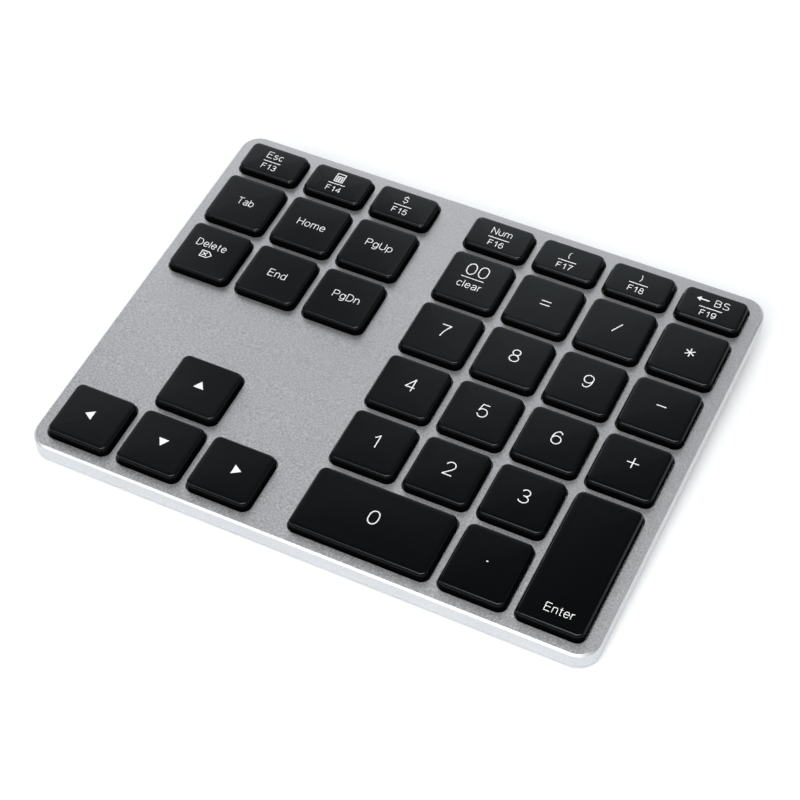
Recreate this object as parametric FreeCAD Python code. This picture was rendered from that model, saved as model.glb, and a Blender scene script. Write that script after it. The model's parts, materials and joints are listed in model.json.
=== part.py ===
"""Wireless numeric keypad with 35 scissor keys in a slim aluminium case.

The keypad is modelled flat, with the top face of its case at z = 0, and then stood on its feet: tilted
about the X axis and lifted, so that the feet rest on z = 0. X runs to the right, Y to the rear, Z up.
All sizes are in millimetres.
"""
import FreeCAD, Part
import math
import os

from FreeCAD import Vector

os.makedirs("parts", exist_ok=True)

X_AXIS = Vector(1, 0, 0)
Y_AXIS = Vector(0, 1, 0)
Z_AXIS = Vector(0, 0, 1)

# Case
CASE_WIDTH = 147.0
CASE_DEPTH = 113.0
CASE_HEIGHT = 4.7
CASE_CORNER = 5.3
CASE_WALL = 1.5
CASE_TOP = 1.2
CASE_CHAMFER = 0.5
TILT_DEG = 2.6
DESK_DROP = 8.39            # from the case's top face straight down to the desk, at the case's middle

# Key grid
PITCH_X = 19.15
PITCH_Y = 18.6
HOLE_WIDTH = 17.35
HOLE_DEPTH = 16.8
HOLE_CORNER = 2.3
HOLE_EDGE_BREAK = 0.12
WEB = PITCH_Y - HOLE_DEPTH
OUTER_COLUMN = 61.4         # centre of the first and of the last column, from the middle
TOP_ROW_DEPTH = 10.85
TOP_ROW_Y = 47.675
SECOND_ROW_Y = 31.9
FRONT_EDGE_Y = -53.4        # front edge of the holes nearest the user

# Key caps
CAP_GAP = 0.4
CAP_TOP = 2.2
CAP_SHOULDER = 1.6
CAP_BEVEL = 0.45
CAP_SKIRT = -0.9
CAP_WALL = 1.0
CAP_CEILING = 1.1
CLIP_SPACING = 4.0          # between the two clips at one end of the levers
CLIP_WIDTH = 1.6
CLIP_THICKNESS = 0.6
CLIP_LOW = 0.1
CLIP_GAP = 0.5              # from the end of the levers to a clip
ROOT = 0.2                  # how deep a rib or a pin is rooted in what it stands on
KEY_TRAVEL = 1.7

# Layers under the keys
SKIRT_CLEARANCE = 0.4       # left under a fully pressed cap
MEMBRANE_TOP = CAP_SKIRT - KEY_TRAVEL - SKIRT_CLEARANCE
MEMBRANE_THICKNESS = 0.3
PLATE_TOP = MEMBRANE_TOP - MEMBRANE_THICKNESS
PLATE_THICKNESS = 0.5
PLATE_BOTTOM = PLATE_TOP - PLATE_THICKNESS
LAYER_CLEARANCE = 0.3       # from the side walls to the sheets inside

# Scissor levers
LEVER_LENGTH = 10.0
LEVER_BAR = 1.0
LEVER_THICKNESS = 0.7
LEVER_LOW = -2.5
LEVER_HIGH = 0.55
LEVER_WIDTH = 9.0
LEVER_WIDTH_TOP_ROW = 7.6
LEVER_SIDE_GAP = 0.2
PIVOT_RADIUS = 0.2
PIVOT_PLAY = 0.05
DOME_RADIUS = 2.5
DOME_RADIUS_TOP_ROW = 1.9
DOME_CROWN_RADIUS = 1.35
DOME_FLANGE = 0.3
HOOK_THICKNESS = 0.35
HOOK_WIDTH = 2.4
HOOK_HEIGHT = 1.0
HOOK_GAP = 0.25             # from the end of the levers to a hook

# Stabiliser wires
WIRE_RADIUS = 0.4
WIRE_HALF_SPAN = 13.0
WIRE_BAR_OFFSET = 6.0
WIRE_BAR_Z = -2.3
WIRE_ARM = 6.3
WIRE_REST_DEG = 19.3
WIRE_HOOK = 1.8
WIRE_RIB_INSET = 1.3        # from the end of the wire's bar to the rib in the cap
WIRE_LUG_INSET = 3.0        # from the end of the wire's bar to the lug on the plate
WIRE_LUG_WIDTH = 1.2
WIRE_LUG_DEPTH = 1.8

# Bottom cover
COVER_GAP = 0.15
COVER_TOP = -4.0
COVER_BOTTOM = -5.0
HUMP_HALF_WIDTH = 48.0
HUMP_RAMP_START = 8.0
HUMP_FLAT_START = 18.0
HUMP_REAR = 55.7
HUMP_ABOVE_DESK = 1.0
HUMP_WALL = 1.2
HUMP_CORNER = 3.0
HUMP_RIM = 0.8
HUMP_TOP = -4.75

# Feet: pads that lie flat on the desk
FOOT_LENGTH = 14.0
FOOT_WIDTH = 6.0
FOOT_THICKNESS = 1.7
FOOT_X = 40.0
FRONT_FOOT_Y = -46.0
REAR_FOOT_Y = 47.0
FOOT_RECESS_GAP = 0.1

# Electronics in the hump
BOARD_TOP = -6.0
BOARD_BOTTOM = -6.8
BOARD_LEFT = -45.0
BOARD_RIGHT = -3.0
BOARD_FRONT = 31.0
BOARD_REAR = 53.9
PEG_RADIUS = 0.9
PEG_SHOULDER_RADIUS = 1.9
PEG_INSET = 3.0             # from the board's edges
PORT_X = -18.0
PORT_Z = -6.7
PORT_REAR = 56.3
PORT_LENGTH = 7.5
PORT_WIDTH = 8.94
PORT_HEIGHT = 3.2
PORT_SHELL = 0.3
PORT_BACK = 1.2
PORT_TONGUE_WIDTH = 6.7
PORT_TONGUE_THICKNESS = 0.7
PORT_OPENING_GAP = 0.1
COLLAR_WIDTH = 12.0
COLLAR_HEIGHT = 4.2
SWITCH_X = -36.0
SWITCH_Z = -6.7
SWITCH_WIDTH = 8.0
SWITCH_DEPTH = 4.0
SWITCH_HEIGHT = 2.6
KNOB_WIDTH = 3.0
KNOB_TRAVEL = 2.0
KNOB_HALF_HEIGHT = 0.65
KNOB_GAP = 0.3
KNOB_RIDGE = 0.5
LIGHT_X = -27.0
LIGHT_Z = -5.4
LIGHT_WIDTH = 2.0
LIGHT_HEIGHT = 1.0
LIGHT_FRONT = 52.3
BUTTON_X = -24.0
BUTTON_Y = 40.0
BUTTON_RADIUS = 1.5
BUTTON_TRAVEL = 0.3
BUTTON_FLANGE_RADIUS = 2.4
BUTTON_SWITCH_WIDTH = 3.0
BUTTON_FLANGE_LIFT = 0.42   # from the hump's floor to the top of the plunger's flange
BATTERY_X = 24.0
BATTERY_Y = 37.0
BATTERY_LENGTH = 42.0
BATTERY_WIDTH = 25.0
BATTERY_TOP = -4.05
BATTERY_BOTTOM = -6.95
BATTERY_CORNER = 1.4
LEAD_RADIUS = 0.4
LEAD_SPACING = 2.4
RADIO_X = -33.5
RADIO_Y = 35.2
RADIO_WIDTH = 9.0
RADIO_DEPTH = 7.0
RADIO_HEIGHT = 1.6
RADIO_WALL = 0.3

# Screws and the posts that they enter
POST_RADIUS = 1.3
POST_HOLE = 0.7
POST_CLEARANCE = 0.3
SCREW_SHAFT = 0.6
SCREW_HEAD = 1.3
SCREW_HEAD_HEIGHT = 0.2
SCREW_END = -1.8
COUNTERSINK_RADIUS = 1.6
COUNTERSINK_DEPTH = 0.6
CROSS_LENGTH = 1.5
CROSS_WIDTH = 0.28
CROSS_DEPTH = 0.4
BEYOND = 1.0                # how far a cutter reaches past what it cuts

# Tail of the membrane
TAIL_LEFT = -14.5
TAIL_RIGHT = -6.5
TAIL_Y = 40.75
TAIL_Z = -5.2

TILT = math.radians(TILT_DEG)
LEFT_COLUMNS = [-OUTER_COLUMN + PITCH_X * i for i in range(3)]
RIGHT_COLUMNS = [OUTER_COLUMN - PITCH_X * i for i in (3, 2, 1, 0)]
COLUMNS = LEFT_COLUMNS + RIGHT_COLUMNS
ROWS = [TOP_ROW_Y] + [SECOND_ROW_Y - PITCH_Y * i for i in range(4)]
ARROW_ROW_Y = FRONT_EDGE_Y + HOLE_DEPTH / 2
ARROW_UP_Y = ARROW_ROW_Y + PITCH_Y
LAST_ROW_BACK = ROWS[4] - HOLE_DEPTH / 2 - WEB
LAST_ROW_DEPTH = LAST_ROW_BACK - FRONT_EDGE_Y
LAST_ROW_Y = (LAST_ROW_BACK + FRONT_EDGE_Y) / 2
ENTER_BACK = ROWS[4] + HOLE_DEPTH / 2
ENTER_DEPTH = ENTER_BACK - FRONT_EDGE_Y
ENTER_Y = (ENTER_BACK + FRONT_EDGE_Y) / 2
ZERO_X = (COLUMNS[3] + COLUMNS[4]) / 2
ZERO_WIDTH = HOLE_WIDTH + PITCH_X


# ---------------------------------------------------------------- helpers

def rounded_outline(width, depth, radius, z):
    """A closed rounded rectangle about the Z axis, at height z."""
    half_w = width / 2
    half_d = depth / 2
    bend = radius * (1 - math.sqrt(0.5))
    edges = []
    for sx, sy in ((1, 1), (-1, 1), (-1, -1), (1, -1)):
        side = Vector(sx * half_w, sy * (half_d - radius), z)
        middle = Vector(sx * (half_w - bend), sy * (half_d - bend), z)
        end = Vector(sx * (half_w - radius), sy * half_d, z)
        if sx * sy < 0:
            side, end = end, side
        edges.append(Part.Arc(side, middle, end).toShape())
    lines = []
    for arc, following in zip(edges, edges[1:] + edges[:1]):
        lines.append(Part.makeLine(arc.Vertexes[-1].Point, following.Vertexes[0].Point))
    return Part.Wire([edge for pair in zip(edges, lines) for edge in pair])


def rounded_block(width, depth, radius, low, high, x=0.0, y=0.0):
    """An upright block with rounded corners, centred on (x, y)."""
    face = Part.Face(rounded_outline(width, depth, radius, low))
    block = face.extrude(Vector(0, 0, high - low))
    block.translate(Vector(x, y, 0))
    return block


def tapered_block(width, depth, radius, low, high, inset):
    """A rounded block whose sides lean in by inset between its low and its high face."""
    bottom = rounded_outline(width, depth, radius, low)
    top = rounded_outline(width - 2 * inset, depth - 2 * inset, radius - inset, high)
    return Part.makeLoft([bottom, top], True, True)


def box(x0, x1, y0, y1, z0, z1):
    """A plain block between two corners."""
    return Part.makeBox(x1 - x0, y1 - y0, z1 - z0, Vector(x0, y0, z0))


def upright(radius, low, high, x, y):
    """An upright cylinder."""
    return Part.makeCylinder(radius, high - low, Vector(x, y, low), Z_AXIS)


def moved(shape, x=0.0, y=0.0, z=0.0):
    """A copy of shape, shifted."""
    copy = shape.copy()
    copy.translate(Vector(x, y, z))
    return copy


def turned(shape, degrees):
    """A copy of shape, turned about the Z axis."""
    copy = shape.copy()
    copy.rotate(Vector(0, 0, 0), Z_AXIS, degrees)
    return copy


def desk_level(y):
    """Height of the desk under a place on the case, before the keypad is stood on its feet."""
    return -DESK_DROP - y * math.tan(TILT)


def hump_bottom(y):
    """Height of the hump's underside, which is parallel to the desk."""
    return desk_level(y) + HUMP_ABOVE_DESK


def hump_floor(y):
    """Height of the floor inside the hump."""
    return hump_bottom(y) + HUMP_WALL


def stand(shape):
    """The shape as it stands on the desk, with the middle of the footprint at the origin."""
    middle_y = (CASE_CHAMFER + CASE_HEIGHT) / 2 * math.sin(TILT)
    copy = shape.copy()
    copy.rotate(Vector(0, 0, 0), X_AXIS, TILT_DEG)
    copy.translate(Vector(0, -middle_y, DESK_DROP * math.cos(TILT)))
    return copy


def save(name, shape):
    """Write one node."""
    stand(shape).exportStep("parts/" + name + ".step")


# ---------------------------------------------------------------- the key layout

def key_layout():
    """Every key as name, centre x, centre y, hole width, hole depth."""
    grid = [
        (0, ["escape", "calculator", "dollar", "num_lock",
             "left_parenthesis", "right_parenthesis", "backspace"]),
        (1, ["tab", "home", "page_up", "double_zero", "equals", "divide", "multiply"]),
        (2, ["delete", "end", "page_down", "7", "8", "9", "minus"]),
        (3, [None, None, None, "4", "5", "6", "plus"]),
        (4, [None, None, None, "1", "2", "3", None]),
    ]
    keys = []
    for row, names in grid:
        depth = TOP_ROW_DEPTH if row == 0 else HOLE_DEPTH
        keys += [(name, COLUMNS[column], ROWS[row], HOLE_WIDTH, depth)
                 for column, name in enumerate(names) if name]
    keys.append(("arrow_up", COLUMNS[1], ARROW_UP_Y, HOLE_WIDTH, HOLE_DEPTH))
    for column, name in enumerate(("arrow_left", "arrow_down", "arrow_right")):
        keys.append((name, COLUMNS[column], ARROW_ROW_Y, HOLE_WIDTH, HOLE_DEPTH))
    keys.append(("0", ZERO_X, LAST_ROW_Y, ZERO_WIDTH, LAST_ROW_DEPTH))
    keys.append(("decimal", COLUMNS[5], LAST_ROW_Y, HOLE_WIDTH, LAST_ROW_DEPTH))
    keys.append(("enter", COLUMNS[6], ENTER_Y, HOLE_WIDTH, ENTER_DEPTH))
    return keys


def lever_turn(name):
    """The levers lie along X, but along Y under the tall key."""
    return 90 if name == "enter" else 0


def lever_width(hole_depth):
    """Width of the outer lever: it is narrower under the half-height keys."""
    return LEVER_WIDTH_TOP_ROW if hole_depth == TOP_ROW_DEPTH else LEVER_WIDTH


def crossings():
    """Places where the webs between the keys cross, as (column gap, row gap, x, y), by block."""
    columns = [(COLUMNS[i] + COLUMNS[i + 1]) / 2 for i in (0, 1, 3, 4, 5)]
    rows = [ROWS[0] - TOP_ROW_DEPTH / 2 - WEB / 2] + [(ROWS[i] + ROWS[i + 1]) / 2 for i in (1, 2, 3)]
    places = []
    for i, x in enumerate(columns):
        for j, y in enumerate(rows):
            if i > 1 or j < 2:
                places.append((i, j, x, y))
    return places


def plate_screw_places():
    """The plate is screwed up at every other crossing."""
    return [(x, y) for i, j, x, y in crossings() if (i + j) % 2 == 1]


def cover_screw_places():
    """The cover is screwed up at the outer crossings and in the key-free areas of the case."""
    outer = [(x, y) for i, j, x, y in crossings() if (i, j) in ((0, 0), (4, 0), (4, 2))]
    front = [((COLUMNS[4] + COLUMNS[5]) / 2, LAST_ROW_BACK + WEB / 2)]
    free = [(COLUMNS[0], ARROW_UP_Y), ((COLUMNS[2] + COLUMNS[3]) / 2, ROWS[3])]
    return outer + front + free


# ---------------------------------------------------------------- case and cover

def hole_cutter(width, depth):
    """Cuts one key hole, with its top edge broken."""
    through = rounded_block(width, depth, HOLE_CORNER, -CASE_TOP - BEYOND, BEYOND)
    wide = width + 2 * HOLE_EDGE_BREAK
    deep = depth + 2 * HOLE_EDGE_BREAK
    corner = HOLE_CORNER + HOLE_EDGE_BREAK
    bottom = rounded_outline(width, depth, HOLE_CORNER, -HOLE_EDGE_BREAK)
    top = rounded_outline(wide, deep, corner, 0)
    flare = Part.makeLoft([bottom, top], True, True)
    return through.fuse(flare)


def top_case(keys):
    """The aluminium shell: a shallow tray turned upside down, with the key holes and the screw posts."""
    body = rounded_block(CASE_WIDTH, CASE_DEPTH, CASE_CORNER, -CASE_HEIGHT, -CASE_CHAMFER)
    rim = tapered_block(CASE_WIDTH, CASE_DEPTH, CASE_CORNER, -CASE_CHAMFER, 0, CASE_CHAMFER)
    shell = body.fuse(rim).removeSplitter()
    inside_corner = CASE_CORNER - CASE_WALL
    inside = rounded_block(CASE_WIDTH - 2 * CASE_WALL, CASE_DEPTH - 2 * CASE_WALL, inside_corner,
                           -CASE_HEIGHT - BEYOND, -CASE_TOP)
    shell = shell.cut(inside)
    cutters = {}
    holes = []
    for _, x, y, width, depth in keys:
        size = (width, depth)
        if size not in cutters:
            cutters[size] = hole_cutter(width, depth)
        holes.append(moved(cutters[size], x, y))
    shell = shell.cut(holes)
    posts = [(x, y, PLATE_TOP) for x, y in plate_screw_places()]
    posts += [(x, y, COVER_TOP) for x, y in cover_screw_places()]
    shell = shell.fuse([upright(POST_RADIUS, low, -CASE_TOP / 2, x, y) for x, y, low in posts])
    return shell.cut([upright(POST_HOLE, low - BEYOND, -CASE_TOP - ROOT, x, y) for x, y, low in posts])


def desk_pad(thickness, grow, x, y):
    """A rounded pad that lies flat on the desk below the place (x, y) of the tilted case."""
    length = FOOT_LENGTH + 2 * grow
    width = FOOT_WIDTH + 2 * grow
    pad = rounded_block(length, width, width / 2 - 0.01, 0, thickness)
    pad.rotate(Vector(0, 0, 0), X_AXIS, -TILT_DEG)
    pad.translate(Vector(x, y, desk_level(y)))
    return pad


def foot_places():
    """Centres of the four feet."""
    return [(sx * FOOT_X, y) for y in (FRONT_FOOT_Y, REAR_FOOT_Y) for sx in (-1, 1)]


def hump_outside():
    """The battery hump: a ramp, then a flat underside parallel to the desk, with rounded rear corners."""
    side = [(HUMP_RAMP_START, COVER_BOTTOM), (HUMP_FLAT_START, hump_bottom(HUMP_FLAT_START)),
            (HUMP_REAR, hump_bottom(HUMP_REAR)), (HUMP_REAR, HUMP_TOP), (HUMP_RAMP_START, HUMP_TOP)]
    points = [Vector(-HUMP_HALF_WIDTH, y, z) for y, z in side]
    hump = Part.Face(Part.makePolygon(points + points[:1])).extrude(Vector(2 * HUMP_HALF_WIDTH, 0, 0))
    corners = [edge for edge in hump.Edges
               if abs(edge.BoundBox.YMin - HUMP_REAR) < 0.01 and edge.BoundBox.XLength < 0.01]
    hump = hump.makeFillet(HUMP_CORNER, corners)
    low = hump_bottom(HUMP_FLAT_START) + 0.01
    rims = [edge for edge in hump.Edges if edge.BoundBox.ZMax < low]
    return hump.makeFillet(HUMP_RIM, rims)


def hump_inside():
    """The hollow of the hump, open at the top."""
    front = HUMP_FLAT_START + HUMP_WALL
    rear = HUMP_REAR - HUMP_WALL
    top = COVER_TOP + BEYOND
    side = [(front, top), (front, hump_floor(front)), (rear, hump_floor(rear)), (rear, top)]
    points = [Vector(-HUMP_HALF_WIDTH + HUMP_WALL, y, z) for y, z in side]
    width = 2 * (HUMP_HALF_WIDTH - HUMP_WALL)
    return Part.Face(Part.makePolygon(points + points[:1])).extrude(Vector(width, 0, 0))


def stadium(width, height, x, z, y0, y1):
    """A bar along Y with half-round ends, of the outline of a charging plug."""
    bar = rounded_block(width, height, height / 2 - 0.01, 0, y1 - y0)
    bar.rotate(Vector(0, 0, 0), X_AXIS, -90)
    bar.translate(Vector(x, y0, z))
    return bar


def peg_places():
    """The board is heat-staked at its two front corners."""
    y = BOARD_FRONT + PEG_INSET
    return [(BOARD_LEFT + PEG_INSET, y), (BOARD_RIGHT - PEG_INSET, y)]


def board_pegs(grow=0.0):
    """Pegs that hold the board."""
    return [upright(PEG_RADIUS + grow, hump_floor(y) - ROOT, BOARD_TOP + 0.4, x, y) for x, y in peg_places()]


def rear_opening(width, height, x, z):
    """Cuts an opening with half-round ends through the rear wall of the hump."""
    return stadium(width, height, x, z, HUMP_REAR - HUMP_WALL - BEYOND, PORT_REAR + BEYOND)


def bottom_cover():
    """The plastic cover: a flat pan with the hump, and its holes, foot recesses and rear openings."""
    inset = 2 * (CASE_WALL + COVER_GAP)
    corner = CASE_CORNER - CASE_WALL - COVER_GAP
    pan = rounded_block(CASE_WIDTH - inset, CASE_DEPTH - inset, corner, COVER_BOTTOM, COVER_TOP)
    cover = pan.fuse(hump_outside()).cut(hump_inside())
    collar = stadium(COLLAR_WIDTH, COLLAR_HEIGHT, PORT_X, PORT_Z - 0.15, HUMP_REAR - HUMP_WALL, PORT_REAR)
    above = box(PORT_X - COLLAR_WIDTH, PORT_X + COLLAR_WIDTH, BOARD_FRONT, PORT_REAR + BEYOND, HUMP_TOP, 0)
    shoulders = [upright(PEG_SHOULDER_RADIUS, hump_floor(y) - ROOT, BOARD_BOTTOM, x, y)
                 for x, y in peg_places()]
    cover = cover.fuse([collar.cut(above)] + shoulders + board_pegs())
    port_gap = 2 * PORT_OPENING_GAP
    slot_width = KNOB_WIDTH + KNOB_TRAVEL + 2 * KNOB_GAP
    slot_height = 2 * (KNOB_HALF_HEIGHT + KNOB_GAP)
    openings = [rear_opening(PORT_WIDTH + port_gap, PORT_HEIGHT + port_gap, PORT_X, PORT_Z),
                rear_opening(slot_width, slot_height, SWITCH_X, SWITCH_Z),
                rear_opening(LIGHT_WIDTH + 0.2, LIGHT_HEIGHT + 0.2, LIGHT_X, LIGHT_Z)]
    floor = hump_floor(BUTTON_Y)
    openings.append(upright(BUTTON_RADIUS + 0.3, floor - 2 * HUMP_WALL, floor + 0.3, BUTTON_X, BUTTON_Y))
    openings += [desk_pad(FOOT_THICKNESS, FOOT_RECESS_GAP, x, y) for x, y in foot_places()]
    for x, y in cover_screw_places():
        openings.append(upright(SCREW_SHAFT + 0.3, COVER_BOTTOM - BEYOND, COVER_TOP + BEYOND, x, y))
        openings.append(Part.makeCone(COUNTERSINK_RADIUS, SCREW_SHAFT + 0.3, COUNTERSINK_DEPTH,
                                      Vector(x, y, COVER_BOTTOM), Z_AXIS))
    return cover.cut(openings)


def rubber_feet():
    """Four pads that lie flat on the desk, in recesses of the cover."""
    return Part.makeCompound([desk_pad(FOOT_THICKNESS, 0, x, y) for x, y in foot_places()])


# ---------------------------------------------------------------- keys

def key_cap(name, width, depth):
    """A hollow cap with bevelled shoulders, and clips underneath for the levers."""
    wide = width - 2 * CAP_GAP
    deep = depth - 2 * CAP_GAP
    corner = HOLE_CORNER - CAP_GAP
    skirt = rounded_block(wide, deep, corner, CAP_SKIRT, CAP_SHOULDER)
    crown = tapered_block(wide, deep, corner, CAP_SHOULDER, CAP_TOP, CAP_BEVEL)
    cap = skirt.fuse(crown).removeSplitter()
    cap = cap.cut(rounded_block(wide - 2 * CAP_WALL, deep - 2 * CAP_WALL, corner - CAP_WALL,
                                CAP_SKIRT - BEYOND, CAP_CEILING))
    half_x = CLIP_THICKNESS / 2
    half_y = CLIP_WIDTH / 2
    clip_x = LEVER_LENGTH / 2 + CLIP_GAP + half_x
    clips = [box(x - half_x, x + half_x, y - half_y, y + half_y, CLIP_LOW, CAP_CEILING + ROOT)
             for x in (-clip_x, clip_x) for y in (-CLIP_SPACING / 2, CLIP_SPACING / 2)]
    cap = cap.fuse([turned(clip, lever_turn(name)) for clip in clips])
    if name in ("0", "enter"):
        cap = cap.fuse([turned(rib, lever_turn(name)) for rib in wire_ribs()])
    return cap


def wire_ribs():
    """Slotted ribs inside a wide cap that hold the ends of its stabiliser wire."""
    end_y = WIRE_BAR_OFFSET - WIRE_ARM * math.cos(math.radians(WIRE_REST_DEG))
    end_z = WIRE_BAR_Z + WIRE_ARM * math.sin(math.radians(WIRE_REST_DEG))
    ribs = []
    for sx in (-1, 1):
        x = sx * (WIRE_HALF_SPAN - WIRE_RIB_INSET)
        rib = box(x - 0.4, x + 0.4, end_y - 1.8, end_y + 1.4, CAP_SKIRT + 0.1, CAP_CEILING + ROOT)
        slot = box(x - BEYOND, x + BEYOND, end_y - 1.0, end_y + 0.65, end_z - 0.5, end_z + 0.5)
        ribs.append(rib.cut(slot))
    return ribs


# ---------------------------------------------------------------- mechanism under the keys

def lever_slope():
    """Angle of a lever to the plate at rest, in degrees."""
    return math.degrees(math.asin((LEVER_HIGH - LEVER_LOW) / LEVER_LENGTH))


def lever_ring(width):
    """A flat rectangular frame about the origin."""
    half = LEVER_LENGTH / 2
    thick = LEVER_THICKNESS / 2
    ring = box(-half, half, -width / 2, width / 2, -thick, thick)
    inner = half - LEVER_BAR
    window = width / 2 - LEVER_BAR
    return ring.cut(box(-inner, inner, -window, window, -BEYOND, BEYOND))


def outer_lever(width):
    """The outer lever, low on its left, with holes for the pivot pins."""
    ring = lever_ring(width)
    start = Vector(0, -width / 2 - BEYOND, 0)
    ring = ring.cut(Part.makeCylinder(PIVOT_RADIUS + PIVOT_PLAY, width + 2 * BEYOND, start, Y_AXIS))
    ring.rotate(Vector(0, 0, 0), Y_AXIS, -lever_slope())
    return ring


def inner_lever(width):
    """The inner lever, low on its right, with the pivot pins on its sides."""
    narrow = width - 2 * (LEVER_BAR + LEVER_SIDE_GAP)
    ring = lever_ring(narrow)
    reach = LEVER_BAR + LEVER_SIDE_GAP
    pins = [Part.makeCylinder(PIVOT_RADIUS, reach, Vector(0, y, 0), Y_AXIS)
            for y in (narrow / 2 - 0.1, -narrow / 2 - reach + 0.1)]
    ring = ring.fuse(pins)
    ring.rotate(Vector(0, 0, 0), Y_AXIS, lever_slope())
    return ring


def levers(keys, maker):
    """One lever for each key, as separate solids."""
    middle = (LEVER_LOW + LEVER_HIGH) / 2
    made = {}
    group = []
    for name, x, y, _, depth in keys:
        width = lever_width(depth)
        if width not in made:
            made[width] = maker(width)
        group.append(moved(turned(made[width], lever_turn(name)), x, y, middle))
    return Part.makeCompound(group)


def dome(foot_radius):
    """A hollow rubber dome on a flat flange, with a plunger below its crown."""
    foot = MEMBRANE_TOP
    flange = foot + DOME_FLANGE
    shoulder = CAP_CEILING - 0.9
    plunger = foot + 1.4
    inside = shoulder - 0.5
    outer = [(0, foot), (foot_radius, foot), (foot_radius, flange), (foot_radius * 0.82, flange),
             (DOME_CROWN_RADIUS, shoulder), (DOME_CROWN_RADIUS, CAP_CEILING), (0, CAP_CEILING)]
    hollow = [(0, foot), (foot_radius * 0.7, foot), (1.0, inside), (0.6, inside), (0.6, plunger),
              (0, plunger)]
    solids = []
    for profile in (outer, hollow):
        points = [Vector(r, 0, z) for r, z in profile]
        face = Part.Face(Part.makePolygon(points + points[:1]))
        solids.append(face.revolve(Vector(0, 0, 0), Z_AXIS, 360))
    return solids[0].cut(solids[1])


def rubber_domes(keys):
    """One dome under the middle of each key."""
    made = {}
    group = []
    for _, x, y, _, depth in keys:
        radius = DOME_RADIUS_TOP_ROW if depth == TOP_ROW_DEPTH else DOME_RADIUS
        if radius not in made:
            made[radius] = dome(radius)
        group.append(moved(made[radius], x, y))
    return Part.makeCompound(group)


def sheet(bottom, top):
    """A full sheet inside the case."""
    inset = 2 * (CASE_WALL + LAYER_CLEARANCE)
    corner = CASE_CORNER - CASE_WALL - LAYER_CLEARANCE
    return rounded_block(CASE_WIDTH - inset, CASE_DEPTH - inset, corner, bottom, top)


def hook_places(keys):
    """Places of the hooks that hold the low ends of the levers: x, y and turn."""
    reach = LEVER_LENGTH / 2 * math.cos(math.radians(lever_slope())) + HOOK_GAP
    places = []
    for name, x, y, _, _ in keys:
        turn = lever_turn(name)
        dx = reach * math.cos(math.radians(turn))
        dy = reach * math.sin(math.radians(turn))
        for side in (-1, 1):
            places.append((x + side * dx, y + side * dy, turn, side))
    return places


def support_plate(keys):
    """The steel plate, with a bent-up hook at each end of each pair of levers and clips for the wires."""
    plate = sheet(PLATE_BOTTOM, PLATE_TOP)
    low = PLATE_BOTTOM - BEYOND
    high = PLATE_TOP + BEYOND
    holes = [upright(POST_HOLE + 0.1, low, high, x, y) for x, y in plate_screw_places()]
    holes += [upright(POST_RADIUS + POST_CLEARANCE, low, high, x, y) for x, y in cover_screw_places()]
    holes.append(tail_slot())
    plate = plate.cut(holes)
    hooks = []
    half = HOOK_WIDTH / 2
    for x, y, turn, side in hook_places(keys):
        hook = box(0, HOOK_THICKNESS, -half, half, PLATE_TOP - ROOT, PLATE_TOP + HOOK_HEIGHT)
        if side < 0:
            hook = turned(hook, 180)
        hooks.append(moved(turned(hook, turn), x, y))
    for name, x, y, _, _ in keys:
        if name in ("0", "enter"):
            hooks += [moved(turned(clip, lever_turn(name)), x, y) for clip in wire_clips()]
    return plate.fuse(hooks)


def wire_clips():
    """Bored lugs on the plate in which a stabiliser wire turns."""
    clips = []
    half_x = WIRE_LUG_WIDTH / 2
    half_y = WIRE_LUG_DEPTH / 2
    for sx in (-1, 1):
        x = sx * (WIRE_HALF_SPAN - WIRE_LUG_INSET)
        lug = box(x - half_x, x + half_x, WIRE_BAR_OFFSET - half_y, WIRE_BAR_OFFSET + half_y,
                  PLATE_TOP - ROOT, WIRE_BAR_Z + 0.8)
        start = Vector(x - half_x - BEYOND, WIRE_BAR_OFFSET, WIRE_BAR_Z)
        bore = Part.makeCylinder(WIRE_RADIUS + 0.05, WIRE_LUG_WIDTH + 2 * BEYOND, start, X_AXIS)
        clips.append(lug.cut(bore))
    return clips


def membrane(keys):
    """The switch sheet on the plate, with slots for the hooks and the lugs, and a tail to the board."""
    film = sheet(PLATE_TOP, MEMBRANE_TOP)
    low = PLATE_TOP - BEYOND
    high = MEMBRANE_TOP + BEYOND
    gaps = [upright(POST_RADIUS + POST_CLEARANCE, low, high, x, y)
            for x, y in plate_screw_places() + cover_screw_places()]
    slot_x = HOOK_THICKNESS / 2
    half_x = slot_x + 0.225
    half_y = HOOK_WIDTH / 2 + 0.2
    for x, y, turn, side in hook_places(keys):
        slot = box(side * slot_x - half_x, side * slot_x + half_x, -half_y, half_y, low, high)
        gaps.append(moved(turned(slot, turn), x, y))
    half_x = WIRE_LUG_WIDTH / 2 + 0.2
    half_y = WIRE_LUG_DEPTH / 2 + 0.2
    for name, x, y, _, _ in keys:
        if name in ("0", "enter"):
            for sx in (-1, 1):
                lug_x = sx * (WIRE_HALF_SPAN - WIRE_LUG_INSET)
                slot = box(lug_x - half_x, lug_x + half_x, WIRE_BAR_OFFSET - half_y, WIRE_BAR_OFFSET + half_y,
                           low, high)
                gaps.append(moved(turned(slot, lever_turn(name)), x, y))
    bend = TAIL_Y + MEMBRANE_THICKNESS
    gaps.append(box(TAIL_LEFT - 0.3, TAIL_RIGHT + 0.3, bend, bend + 1.3, low, high))
    film = film.cut(gaps)
    drop = box(TAIL_LEFT, TAIL_RIGHT, TAIL_Y, bend, TAIL_Z, MEMBRANE_TOP)
    run = box(TAIL_LEFT, TAIL_RIGHT, TAIL_Y, TAIL_Y + 2.5, TAIL_Z, TAIL_Z + MEMBRANE_THICKNESS)
    return film.fuse([drop, run])


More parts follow.
